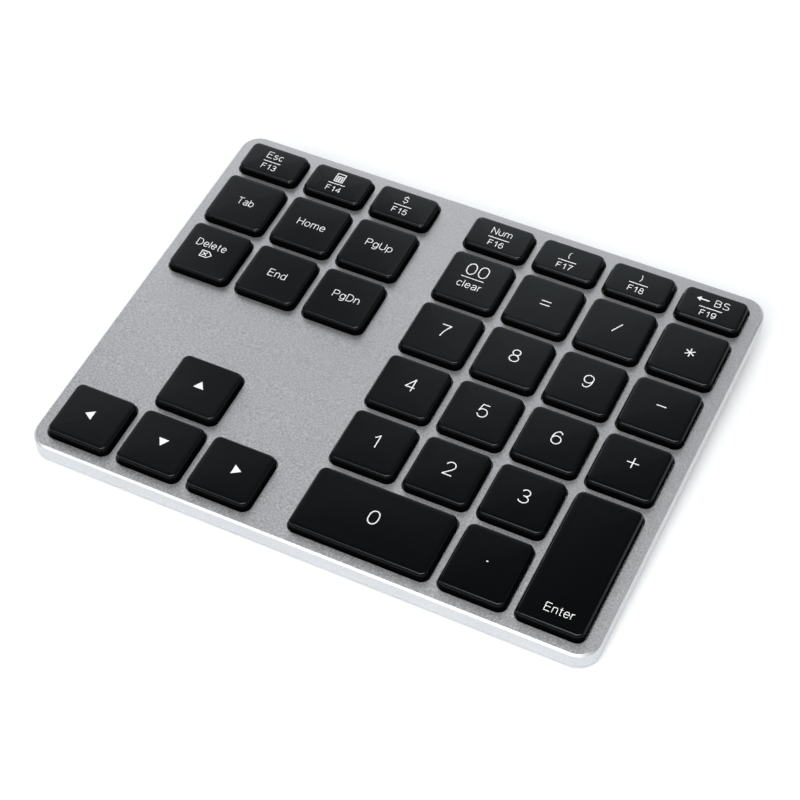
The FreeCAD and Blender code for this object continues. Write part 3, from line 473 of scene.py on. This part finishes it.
def add_clips(mesh, key, low, high):
    """The clips under a cap that hold the high ends of the levers."""
    middle = (low + high) / 2
    for sx in (-1, 1):
        for sy in (-1, 1):
            x, y, half_x, half_y = sx * CLIP_X, sy * CLIP_Y, CLIP_HALF_X, CLIP_HALF_Y
            if lies_along_y(key):
                x, y, half_x, half_y = -y, x, half_y, half_x
            block(mesh, middle.x + x - half_x, middle.x + x + half_x,
                  middle.y + y - half_y, middle.y + y + half_y, CLIP_BOTTOM, CAP_CEILING + CLIP_ROOT)


def make_cap(key):
    """One key cap."""
    low, high = KEYS[key]
    mesh = bmesh.new()
    bridge(mesh, cap_rings(low, high))
    add_clips(mesh, key, low, high)
    cap = finish_piece("cap_" + key, mesh, "cap", "key_" + key, crease_deg=60)
    # The walls below the shoulder get the skirt material, painted shade for the gaps round the key.
    cap.data.materials.append(MATERIALS["skirt"])
    for polygon in cap.data.polygons:
        if (TO_PLATE @ polygon.center).z < CAP_SHOULDER:
            polygon.material_index = 1
    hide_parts("key_" + key)


# ---------------------------------------------------------------- lettering
# Ink is a list of polygons in plate coordinates, which may overlap. ink_solid joins them into one solid.

def arc(x, y, radius_x, radius_y, start, end):
    """Points along an elliptical arc, angles in degrees."""
    steps = max(2, round(abs(end - start) / ARC_STEP))
    angles = [math.radians(start + (end - start) * i / steps) for i in range(steps + 1)]
    return [(x + radius_x * math.cos(a), y + radius_y * math.sin(a)) for a in angles]


def oval(x, y, radius_x, radius_y):
    """A closed ellipse: its last point is its first."""
    return arc(x, y, radius_x, radius_y, 90, 450)


def turned_round(strokes, width):
    """The same strokes, turned by half a turn within the height of a capital."""
    return [[(width - x, 1 - y) for x, y in stroke] for stroke in strokes]


def letter_s(width, height, radius_upper):
    """An S: an upper bowl that opens to the right and a lower one that opens to the left."""
    radius_lower = height / 2 - radius_upper
    middle = width / 2
    upper = arc(middle, height - radius_upper, middle * 0.92, radius_upper, 25, 270)
    lower = arc(middle, radius_lower, middle, radius_lower, 90, -160)
    return [upper + lower[1:]]


SIX = [arc(0.32, 0.75, 0.22, 0.25, 20, 90) + arc(0.32, 0.4, 0.31, 0.6, 90, 180)[1:]
       + arc(0.30, 0.315, 0.29, 0.315, 180, 0)[1:] + arc(0.30, 0.315, 0.29, 0.315, 0, -180)[1:]]

# Each sign is its width and the middle lines of its strokes, where a capital is 1 high.
SIGNS = {
    "0": (0.60, [arc(0.3, 0.6, 0.3, 0.4, 0, 180) + arc(0.3, 0.4, 0.3, 0.4, 180, 360) + [(0.6, 0.6)]]),
    "1": (0.5, [[(0.08, 0.75), (0.22, 0.83), (0.36, 1.0), (0.36, 0.0)]]),
    "2": (0.58, [arc(0.29, 0.71, 0.27, 0.29, 170, -25) + [(0.44, 0.44), (0.0, 0.0), (0.58, 0.0)]]),
    "3": (0.58, [arc(0.28, 0.76, 0.24, 0.24, 160, -90) + [(0.2, 0.52)],
                 arc(0.28, 0.26, 0.29, 0.26, 90, -160)]),
    "4": (0.62, [[(0.47, 0.0), (0.47, 1.0), (0.0, 0.31), (0.62, 0.31)]]),
    "5": (0.58, [[(0.53, 1.0), (0.12, 1.0), (0.03, 0.48)] + arc(0.29, 0.33, 0.29, 0.33, 135, -160)]),
    "6": (0.60, SIX),
    "7": (0.58, [[(0.0, 1.0), (0.58, 1.0), (0.42, 0.74), (0.28, 0.4), (0.2, 0.0)]]),
    "8": (0.60, [oval(0.3, 0.77, 0.24, 0.23), oval(0.3, 0.27, 0.29, 0.27)]),
    "9": (0.60, turned_round(SIX, 0.60)),
    "B": (0.60, [[(0.34, 0.53), (0.0, 0.53), (0.0, 1.0), (0.33, 1.0)]
                 + arc(0.33, 0.765, 0.22, 0.235, 90, -90),
                 [(0.0, 0.53), (0.0, 0.0), (0.35, 0.0)] + arc(0.35, 0.265, 0.25, 0.265, -90, 90)]),
    "D": (0.64, [[(0.3, 0.0), (0.0, 0.0), (0.0, 1.0), (0.3, 1.0)]
                 + arc(0.28, 0.5, 0.36, 0.5, 90, -90)[1:]]),
    "E": (0.60, [[(0.58, 1.0), (0.0, 1.0), (0.0, 0.0), (0.6, 0.0)], [(0.0, 0.53), (0.54, 0.53)]]),
    "F": (0.56, [[(0.56, 1.0), (0.0, 1.0), (0.0, 0.0)], [(0.0, 0.52), (0.48, 0.52)]]),
    "H": (0.64, [[(0.0, 0.0), (0.0, 1.0)], [(0.64, 0.0), (0.64, 1.0)], [(0.0, 0.53), (0.64, 0.53)]]),
    "N": (0.62, [[(0.0, 0.0), (0.0, 1.0), (0.62, 0.0), (0.62, 1.0)]]),
    "P": (0.59, [[(0.0, 0.0), (0.0, 1.0), (0.34, 1.0)] + arc(0.34, 0.735, 0.25, 0.265, 90, -90)[1:]
                 + [(0.0, 0.47)]]),
    "S": (0.60, letter_s(0.60, 1.0, 0.24)),
    "T": (0.66, [[(0.0, 1.0), (0.66, 1.0)], [(0.33, 1.0), (0.33, 0.0)]]),
    "U": (0.62, [[(0.0, 1.0)] + arc(0.31, 0.31, 0.31, 0.31, 180, 360) + [(0.62, 1.0)]]),
    "a": (0.50, [arc(0.25, 0.52, 0.22, 0.2, 165, 0) + [(0.47, 0.12), (0.5, 0.0)],
                 [(0.47, 0.42), (0.2, 0.37)] + arc(0.19, 0.185, 0.19, 0.185, 100, 270)
                 + arc(0.21, 0.24, 0.26, 0.24, 270, 340)[1:]]),
    "b": (0.52, [[(0.0, 1.0), (0.0, 0.0)], oval(0.26, 0.36, 0.26, 0.36)]),
    "c": (0.47, [arc(0.26, 0.36, 0.26, 0.36, 38, 322)]),
    "d": (0.52, [[(0.52, 1.0), (0.52, 0.0)], oval(0.26, 0.36, 0.26, 0.36)]),
    "e": (0.52, [[(0.0, 0.38), (0.52, 0.38)] + arc(0.26, 0.36, 0.26, 0.36, 4, 325)[1:]]),
    "g": (0.51, [[(0.51, 0.72)] + arc(0.26, -0.03, 0.25, 0.24, 0, -155), oval(0.255, 0.37, 0.255, 0.35)]),
    "l": (0.02, [[(0.0, 1.0), (0.0, 0.0)]]),
    "m": (0.82, [[(0.0, 0.72), (0.0, 0.0)], arc(0.205, 0.48, 0.205, 0.24, 180, 0) + [(0.41, 0.0)],
                 arc(0.615, 0.48, 0.205, 0.24, 180, 0) + [(0.82, 0.0)]]),
    "n": (0.48, [[(0.0, 0.72), (0.0, 0.0)], arc(0.24, 0.46, 0.24, 0.26, 180, 0) + [(0.48, 0.0)]]),
    "o": (0.54, [oval(0.27, 0.36, 0.27, 0.36)]),
    "p": (0.52, [[(0.0, 0.72), (0.0, -0.27)], oval(0.26, 0.36, 0.26, 0.36)]),
    "r": (0.28, [[(0.0, 0.72), (0.0, 0.0)], arc(0.24, 0.42, 0.24, 0.3, 180, 80)]),
    "s": (0.44, letter_s(0.44, 0.72, 0.17)),
    "t": (0.28, [[(0.13, 0.95)] + arc(0.26, 0.13, 0.13, 0.13, 180, 280), [(0.0, 0.71), (0.28, 0.71)]]),
    "u": (0.48, [[(0.48, 0.72), (0.48, 0.0)], [(0.0, 0.72)] + arc(0.24, 0.26, 0.24, 0.26, 180, 360)]),
    "$": (0.60, [[(x, y * 0.9 + 0.05) for x, y in letter_s(0.60, 1.0, 0.24)[0]],
                 [(0.3, 1.14), (0.3, 0.9)], [(0.3, 0.1), (0.3, -0.14)]]),
    "(": (0.22, [arc(0.62, 0.38, 0.62, 0.76, 137, 223)]),
    ")": (0.22, [arc(-0.4, 0.38, 0.62, 0.76, 43, -43)]),
}


def add_stroke(ink, points, width=LINE_WIDTH):
    """A stroke along points, cut in two at each sharp corner, where a disc rounds it."""
    line = [Vector(points[0])]
    for point in map(Vector, points[1:]):
        if (point - line[-1]).length > SAME_POINT:
            line.append(point)
    start = 0
    for i in range(1, len(line) - 1):
        if (line[i] - line[i - 1]).angle(line[i + 1] - line[i]) > SHARP_CORNER:
            add_ribbon(ink, line[start:i + 1], width)
            ink.append(oval(line[i].x, line[i].y, width / 2, width / 2)[:-1])
            start = i
    add_ribbon(ink, line[start:], width)


def add_ribbon(ink, points, width):
    """A stroke without sharp corners, as one polygon for each stretch. It may close on its first point."""
    line = list(points)
    closed = (line[0] - line[-1]).length < SAME_POINT
    if closed:
        line.pop()
    sides = []
    for i, here in enumerate(line):
        ways = []
        if closed or i > 0:
            ways.append((here - line[i - 1]).normalized())
        if closed or i < len(line) - 1:
            ways.append((line[(i + 1) % len(line)] - here).normalized())
        way = sum(ways, Vector((0, 0))).normalized()
        mitre = 1 / max(way.dot(ways[0]), 1 / MITRE_LIMIT)
        side = Vector((-way.y, way.x)) * width / 2 * mitre
        sides.append((here + side, here - side))
    if closed:
        sides.append(sides[0])
    for (left, right), (next_left, next_right) in zip(sides, sides[1:]):
        ink.append([right, next_right, next_left, left])


def add_words(ink, words, x, y, height, width=None, stroke=WORD_STROKE):
    """Words whose capitals are that high outside, centred on (x, y), and as wide as asked for."""
    lines = []
    cursor = 0.0
    for sign in words:
        sign_width, sign_strokes = SIGNS[sign]
        lines += [[(cursor + a, b) for a, b in line] for line in sign_strokes]
        cursor += sign_width + SIGN_GAP
    natural = cursor - SIGN_GAP
    scale_y = height - stroke
    scale_x = (width - stroke) / natural if width else scale_y
    for line in lines:
        placed = [(x + (a - natural / 2) * scale_x, y + (b - 0.5) * scale_y) for a, b in line]
        add_stroke(ink, placed, stroke)


def covers(polygon, point):
    """Whether a point of the plate lies inside a polygon."""
    inside = False
    for (ax, ay), (bx, by) in zip(polygon, polygon[1:] + polygon[:1]):
        if (ay > point.y) != (by > point.y) and point.x < ax + (bx - ax) * (point.y - ay) / (by - ay):
            inside = not inside
    return inside


def ink_solid(ink, height):
    """One solid from overlapping polygons of ink, laid on a surface whose height is a function of place."""
    corners = []
    edges = []
    for polygon in ink:
        first = len(corners)
        corners += [Vector(p) for p in polygon]
        edges += [(i, i + 1) for i in range(first, len(corners) - 1)]
        edges.append((len(corners) - 1, first))
    points, _, triangles = delaunay_2d_cdt(corners, edges, [], 0, SAME_POINT)[:3]
    mesh = bmesh.new()
    verts = [mesh.verts.new((*p, 0)) for p in points]
    for triangle in triangles:
        middle = sum((points[i] for i in triangle), Vector((0, 0))) / 3
        if any(covers(polygon, middle) for polygon in ink):
            mesh.faces.new([verts[i] for i in triangle])
    bmesh.ops.delete(mesh, geom=[v for v in mesh.verts if not v.link_faces], context="VERTS")
    upper = bmesh.ops.extrude_face_region(mesh, geom=list(mesh.faces))["geom"]
    face = {element for element in upper if isinstance(element, bmesh.types.BMVert)}
    for vertex in mesh.verts:
        vertex.co.z = height(vertex.co.x, vertex.co.y) + (INK_THICKNESS if vertex in face else -INK_SINK)
    return mesh


# ---------------------------------------------------------------- legends

def two_part_legend(upper, lower, upper_width, line_width, dx, dy):
    """A word or a drawing over a short line over a function number, as the keys of the rear row have."""
    def draw(ink, x, y):
        x += dx
        y += dy
        if isinstance(upper, str):
            add_words(ink, upper, x, y + UPPER_RISE, UPPER_HEIGHT, upper_width)
        else:
            upper(ink, x, y + UPPER_RISE)
        add_stroke(ink, [(x - line_width / 2, y + LINE_RISE), (x + line_width / 2, y + LINE_RISE)])
        add_words(ink, lower, x, y + LOWER_RISE, LOWER_HEIGHT, LOWER_WIDTH)
    return draw


def word(words, width, dx=0.0, dy=0.0):
    """A single word."""
    return lambda ink, x, y: add_words(ink, words, x + dx, y + dy, WORD_HEIGHT, width)


def figure(sign, width=FIGURE_WIDTH, dx=0.35):
    """A large light figure."""
    def draw(ink, x, y):
        add_words(ink, sign, x + dx, y + FIGURE_RISE, FIGURE_HEIGHT, width, FIGURE_STROKE)
    return draw


def strokes(*lines):
    """Straight strokes about the middle of the key."""
    def draw(ink, x, y):
        for line in lines:
            add_stroke(ink, [(x + a, y + b) for a, b in line], FIGURE_STROKE)
    return draw


def arrow_head(direction_deg, dx, dy):
    """A filled triangle that points one way."""
    length = 2.2
    half_width = 1.36

    def draw(ink, x, y):
        turn = Matrix.Rotation(math.radians(direction_deg), 2)
        outline = [(length / 2, 0), (-length / 2, half_width), (-length / 2, -half_width)]
        corners = [turn @ Vector(p) for p in outline]
        ink.append([(x + dx + p.x, y + dy + p.y) for p in corners])
    return draw


def calculator_icon(ink, x, y):
    """A small calculator: a body outline, a display and a grid of keys."""
    half_x, half_y = 1.2, 1.4
    outline_stroke = 0.26
    outline = [(-half_x, -half_y), (half_x, -half_y), (half_x, half_y), (-half_x, half_y)]
    add_stroke(ink, [(x + a, y + b) for a, b in outline + outline[:1]], outline_stroke)
    add_stroke(ink, [(x - 1.0, y + 0.5), (x + 1.0, y + 0.5)], ICON_STROKE)
    half_key = 0.23
    for column in (-0.66, 0.0, 0.66):
        for row in (0.05, -0.45, -0.95):
            key_line = [(x + column - half_key, y + row), (x + column + half_key, y + row)]
            add_stroke(ink, key_line, BOLD_STROKE)


def backspace_drawing(ink, x, y):
    """A long arrow to the left, and two letters."""
    add_stroke(ink, [(x - 3.5, y), (x - 1.1, y)], BOLD_STROKE)
    ink.append([(x - 4.4, y), (x - 3.3, y - 0.75), (x - 3.3, y + 0.75)])
    add_words(ink, "BS", x + 2.3, y, UPPER_HEIGHT, 3.8)


def delete_legend(ink, x, y):
    """A word over a tag that points right and has a cross in it."""
    add_words(ink, "Delete", x - 0.5, y + 1.8, WORD_HEIGHT, 8.45)
    middle_x = x - 0.4
    middle_y = y - 1.5
    tag = [(-1.5, -1.0), (0.45, -1.0), (1.45, 0.0), (0.45, 1.0), (-1.5, 1.0)]
    add_stroke(ink, [(middle_x + a, middle_y + b) for a, b in tag + tag[:1]], ICON_STROKE)
    for rise in (-0.55, 0.55):
        cross = [(middle_x - 1.05, middle_y - rise), (middle_x + 0.15, middle_y + rise)]
        add_stroke(ink, cross, ICON_STROKE)


def double_zero_legend(ink, x, y):
    """Two figures over a line over a word."""
    add_words(ink, "00", x - 0.25, y + 3.1, 3.9, 5.95, FIGURE_STROKE)
    add_stroke(ink, [(x - 3.5, y + 0.2), (x + 2.6, y + 0.2)])
    add_words(ink, "clear", x - 0.3, y - 2.0, WORD_HEIGHT, 6.6)


def asterisk(ink, x, y):
    """Three crossing strokes."""
    reach = 1.35
    middle_x = x + 0.2
    middle_y = y + 0.4
    for turn in (90, 30, 150):
        dx = reach * math.cos(math.radians(turn))
        dy = reach * math.sin(math.radians(turn))
        add_stroke(ink, [(middle_x - dx, middle_y - dy), (middle_x + dx, middle_y + dy)], FIGURE_STROKE)


LEGENDS = {
    "escape": two_part_legend("Esc", "F13", 4.7, 4.95, -0.45, 0.0),
    "calculator": two_part_legend(calculator_icon, "F14", None, 4.8, -0.45, -0.05),
    "dollar": two_part_legend("$", "F15", None, 4.95, -0.4, 0.0),
    "num_lock": two_part_legend("Num", "F16", 5.6, 5.75, 0.0, -0.3),
    "left_parenthesis": two_part_legend("(", "F17", None, 5.0, -0.35, -0.1),
    "right_parenthesis": two_part_legend(")", "F18", None, 5.0, -0.3, 0.15),
    "backspace": two_part_legend(backspace_drawing, "F19", None, 5.95, -0.3, -0.1),
    "tab": word("Tab", 4.7, 0.1),
    "home": word("Home", 7.85, 0.3),
    "page_up": word("PgUp", 7.45, 0.3, 0.7),
    "double_zero": double_zero_legend,
    "equals": strokes([(-0.95, 1.0), (1.6, 1.0)], [(-0.95, -0.2), (1.6, -0.2)]),
    "divide": strokes([(-0.6, -1.1), (1.2, 1.9)]),
    "multiply": asterisk,
    "delete": delete_legend,
    "end": word("End", 4.95, 0.3),
    "page_down": word("PgDn", 7.4, 0.45, 0.5),
    "minus": strokes([(-1.25, 0.9), (1.25, 0.9)]),
    "plus": strokes([(-1.3, 1.2), (1.7, 1.2)], [(0.2, -0.3), (0.2, 2.7)]),
    "decimal": strokes([(-0.3, 0.65), (0.2, 0.65)]),
    "arrow_up": arrow_head(90, 0.0, 0.6),
    "arrow_left": arrow_head(180, -0.9, 0.3),
    "arrow_down": arrow_head(-90, 0.25, 0.3),
    "arrow_right": arrow_head(0, 1.4, 0.5),
    "enter": word("Enter", 7.2, 0.9, -13.9),
    "0": figure("0", dx=-0.05),
    "1": figure("1", 2.3, 0.2),
}
for number in "23456789":
    LEGENDS[number] = figure(number)


def make_legend(key):
    """The printed legend of one key."""
    low, high = KEYS[key]
    ink = []
    LEGENDS[key](ink, (low.x + high.x) / 2 + LEGEND_RIGHT, (low.y + high.y) / 2 - LEGEND_FRONT)
    mesh = ink_solid(ink, crown(low, high))
    finish_piece("legend_" + key, mesh, "ink", "key_" + key, crease_deg=20)


def make_lock_light():
    """The small dark lens in the rear left corner of the number lock key."""
    low, high = KEYS["num_lock"]
    x = low.x + LENS_INSET
    y = high.y - LENS_INSET
    mesh = bmesh.new()
    profile = [(1.0, -0.1), (1.0, 0.02), (0.85, 0.06), (0.5, 0.09), (0.15, 0.1)]
    bridge(mesh, [circle(x, y, LENS_RADIUS * part, CAP_TOP + rise, LENS_STEPS) for part, rise in profile])
    finish_piece("lock_light_lens", mesh, "lens", "key_num_lock")


# ---------------------------------------------------------------- mechanism

def islands(node_name):
    """The separate solids of a CAD node, as lists of faces over row-frame points."""
    mesh = bmesh.new()
    mesh.from_mesh(NODES[node_name].data)
    bmesh.ops.remove_doubles(mesh, verts=mesh.verts, dist=SAME_POINT * MM)
    mesh.verts.ensure_lookup_table()
    seen = set()
    parts = []
    for seed in mesh.verts:
        if seed.index in seen:
            continue
        stack = [seed]
        seen.add(seed.index)
        members = []
        while stack:
            vertex = stack.pop()
            members.append(vertex)
            for edge in vertex.link_edges:
                other = edge.other_vert(vertex)
                if other.index not in seen:
                    seen.add(other.index)
                    stack.append(other)
        order = {vertex.index: i for i, vertex in enumerate(members)}
        faces = sorted({face for vertex in members for face in vertex.link_faces}, key=lambda f: f.index)
        points = [vertex.co.copy() for vertex in members]
        parts.append((points, [[order[v.index] for v in face.verts] for face in faces]))
    mesh.free()
    return parts


def key_at(points):
    """The key whose cap is over the middle of these points."""
    low, high = plate_box(points)
    middle = (low + high) / 2
    for key, (cap_low, cap_high) in KEYS.items():
        if cap_low.x < middle.x < cap_high.x and cap_low.y < middle.y < cap_high.y:
            return key
    raise ValueError("no key is over this part")


def squash_to_key(piece):
    """Gives the piece a mesh of its own."""
    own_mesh(piece)


def make_levers(node_name, label):
    """One lever under each key, from the solids of a CAD node."""
    for points, faces in islands(node_name):
        key = key_at(points)
        data = bpy.data.meshes.new(label + key)
        data.from_pydata(points, [], faces)
        data.materials.append(MATERIALS["lever"])
        lever = bpy.data.objects.new(label + key, data)
        bpy.context.scene.collection.objects.link(lever)
        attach(lever, CASE_BODY)
        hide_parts(node_name)
        squash_to_key(lever)


def make_dome(key):
    """The rubber dome under one key, turned from a soft profile."""
    low, high = KEYS[key]
    foot = SMALL_DOME_FOOT if high.y - low.y < HALF_HEIGHT_KEY else DOME_FOOT
    profile = [(0.0, CAP_CEILING), (1.2, CAP_CEILING), (1.33, 1.02), (1.35, 0.5), (1.42, 0.1),
               (foot * 0.70, -1.2), (foot * 0.80, -2.3), (foot * 0.86, -2.62), (foot * 0.95, -2.7),
               (foot, -2.78), (foot, MEMBRANE_TOP), (foot * 0.7, MEMBRANE_TOP), (foot * 0.66, -2.4),
               (1.0, -0.5), (0.6, -0.3), (0.6, -1.6), (0.0, -1.6)]
    middle = (low + high) / 2
    mesh = bmesh.new()
    rings = []
    for radius, z in profile:
        if radius == 0.0:
            rings.append([mesh.verts.new((middle.x, middle.y, z))] * DOME_STEPS)
        else:
            rings.append([mesh.verts.new(p) for p in circle(middle.x, middle.y, radius, z, DOME_STEPS)])
    for upper, lower in zip(rings, rings[1:]):
        for i in range(DOME_STEPS):
            j = (i + 1) % DOME_STEPS
            corners = list(dict.fromkeys((upper[i], upper[j], lower[j], lower[i])))
            mesh.faces.new(corners)
    dome = finish_piece("dome_" + key, mesh, "dome", CASE_BODY, crease_deg=50)
    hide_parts("rubber_domes")
    squash_to_key(dome)


# ---------------------------------------------------------------- carried-over CAD nodes

CARRIED = {
    "top_case": "aluminium",
    "bottom_cover": "cover",
    "rubber_feet": "foot",
    "support_plate": "steel",
    "membrane": "film",
    "zero_stabiliser_wire": "wire",
    "enter_stabiliser_wire": "wire",
    "main_board": "board",
    "board_chips": "epoxy",
    "radio_module": "shield",
    "membrane_connector": "connector",
    "usb_port": "shield",
    "power_switch_body": "connector",
    "power_switch_knob": "cover",
    "status_light_pipe": "pipe",
    "pairing_button": "cover",
    "pairing_switch": "connector",
    "battery_cell": "foil",
    "battery_tape": "foam",
    "battery_leads": "sleeve",
    "plate_screws": "screw",
    "cover_screws": "screw",
}


def paint_carried():
    """Better materials on the CAD nodes that stay."""
    for node_name, material in CARRIED.items():
        data = NODES[node_name].data
        data.materials.clear()
        data.materials.append(MATERIALS[material])


def paint_chamfer_cut_and_highlight():
    """A brighter cut finish on the chamfer round the top face of the case, partly a painted highlight."""
    data = NODES["top_case"].data
    data.materials.append(MATERIALS["cut_edge"])
    for polygon in data.polygons:
        if CHAMFER_LEAST_UP < polygon.normal.dot(UP) < CHAMFER_MOST_UP:
            polygon.material_index = 1


# ---------------------------------------------------------------- stage, light and camera

def make_floor():
    """A pale floor that glows: faintly near the keypad, as painted light that lightens the keypad's shadow,
    and in full where the softboxes don't reach.
    """
    mesh = bmesh.new()
    corners = [(-1, -1), (1, -1), (1, 1), (-1, 1)]
    mesh.faces.new([mesh.verts.new((x * FLOOR_REACH, y * FLOOR_REACH, 0)) for x, y in corners])
    data = bpy.data.meshes.new("floor")
    mesh.to_mesh(data)
    mesh.free()
    material, tree, shader, place = shader_nodes("floor_paper")
    paper = ramp(tree, noise(tree, place, 40), [(0.3, (0.9, 0.92, 0.93)), (0.7, (0.92, 0.94, 0.95))])
    tree.links.new(paper, shader.inputs["Base Color"])
    shader.inputs["Roughness"].default_value = 0.9
    shader.inputs["Specular IOR Level"].default_value = 0.1
    distance = tree.nodes.new("ShaderNodeVectorMath")
    distance.operation = "LENGTH"
    tree.links.new(place, distance.inputs[0])
    glow = map_range(tree, distance.outputs["Value"], GLOW_NEAR, GLOW_FAR, GLOW_LEAST, 1.0)
    tree.links.new(glow, shader.inputs["Emission Strength"])
    shader.inputs["Emission Color"].default_value = (0.98, 0.98, 0.98, 1)
    data.materials.append(material)
    floor = bpy.data.objects.new("floor", data)
    bpy.context.scene.collection.objects.link(floor)


def direction(azimuth, elevation):
    """The way from the keypad: azimuth 0 is straight in front, and it grows to the right."""
    around = math.radians(azimuth)
    above = math.radians(elevation)
    level = math.cos(above)
    return Vector((math.sin(around) * level, -math.cos(around) * level, math.sin(above)))


def make_light(name, azimuth, elevation, distance, size, radiance):
    """A softbox that faces the keypad."""
    way = direction(azimuth, elevation)
    data = bpy.data.lights.new(name, "AREA")
    data.shape = "RECTANGLE"
    data.size, data.size_y = size
    data.energy = radiance * math.pi * size[0] * size[1]
    light = bpy.data.objects.new(name, data)
    bpy.context.scene.collection.objects.link(light)
    light.location = way * distance
    light.rotation_mode = "QUATERNION"
    light.rotation_quaternion = way.to_track_quat("Z", "Y")


def nearness(tree, azimuth, elevation):
    """How close a way into the studio is to one direction: the cosine of the angle between them."""
    node = tree.nodes.new("ShaderNodeVectorMath")
    node.operation = "DOT_PRODUCT"
    node.inputs[1].default_value = direction(azimuth, elevation)
    tree.links.new(tree.nodes.new("ShaderNodeTexCoord").outputs["Generated"], node.inputs[0])
    return node.outputs["Value"]


def make_world():
    """A dim studio with a bright wall behind the keypad on the left, and a dark round spot above it."""
    world = bpy.data.worlds.new("studio")
    world.use_nodes = True
    tree = world.node_tree
    levels = [(near, tuple(level * part for part in WALL_TINT)) for near, level in WALL_LEVELS]
    glow = ramp(tree, nearness(tree, BRIGHT_WALL_AZIMUTH, BRIGHT_WALL_ELEVATION), levels)
    edge = math.cos(math.radians(DARK_SPOT_EDGE))
    core = math.cos(math.radians(DARK_SPOT_CORE))
    to_spot = nearness(tree, DARK_SPOT_AZIMUTH, DARK_SPOT_ELEVATION)
    shade = map_range(tree, to_spot, edge, core, 1.0, DARK_SPOT_LEVEL)
    dimmed = tree.nodes.new("ShaderNodeVectorMath")
    dimmed.operation = "SCALE"
    tree.links.new(glow, dimmed.inputs[0])
    tree.links.new(shade, dimmed.inputs["Scale"])
    background = tree.nodes["Background"]
    tree.links.new(dimmed.outputs["Vector"], background.inputs["Color"])
    background.inputs["Strength"].default_value = STUDIO_STRENGTH
    bpy.context.scene.world = world


def make_lights():
    """Softboxes: a large one over the front, a smaller one overhead, and a long one at the left front."""
    make_light("softbox_overhead", azimuth=29, elevation=60, distance=1.3, size=(1.2, 1.0), radiance=3.8)
    make_light("softbox_top", azimuth=0, elevation=86, distance=1.3, size=(0.6, 0.5), radiance=2.4)
    make_light("softbox_front", azimuth=-20, elevation=37, distance=1.1, size=(1.2, 0.28), radiance=3.8)


def make_camera():
    """The camera, at its place over the keypad."""
    back = direction(CAMERA_AZIMUTH, CAMERA_ELEVATION)
    right = Vector((0, 0, 1)).cross(back).normalized()
    up = back.cross(right)
    pose = Matrix((right, up, back)).transposed() @ Matrix.Rotation(math.radians(CAMERA_ROLL), 3, "Z")
    place = Vector(CAMERA_TARGET) + back * CAMERA_DISTANCE
    data = bpy.data.cameras.new("camera")
    data.lens = CAMERA_LENS
    data.sensor_width = CAMERA_SENSOR
    data.clip_start = 0.01
    data.clip_end = 10.0
    camera = bpy.data.objects.new("camera", data)
    bpy.context.scene.collection.objects.link(camera)
    turn = (PLATE.to_3x3().normalized() @ pose).to_4x4()
    camera.matrix_world = Matrix.Translation(PLATE @ place) @ turn
    bpy.context.scene.camera = camera


# ---------------------------------------------------------------- build

make_camera()
make_world()
make_lights()
make_floor()
paint_carried()
paint_chamfer_cut_and_highlight()
for key_name in KEYS:
    make_cap(key_name)
    make_legend(key_name)
    make_dome(key_name)
make_lock_light()
make_levers("scissor_outer_levers", "outer_lever_")
make_levers("scissor_inner_levers", "inner_lever_")

bpy.context.scene.view_settings.view_transform = "Standard"
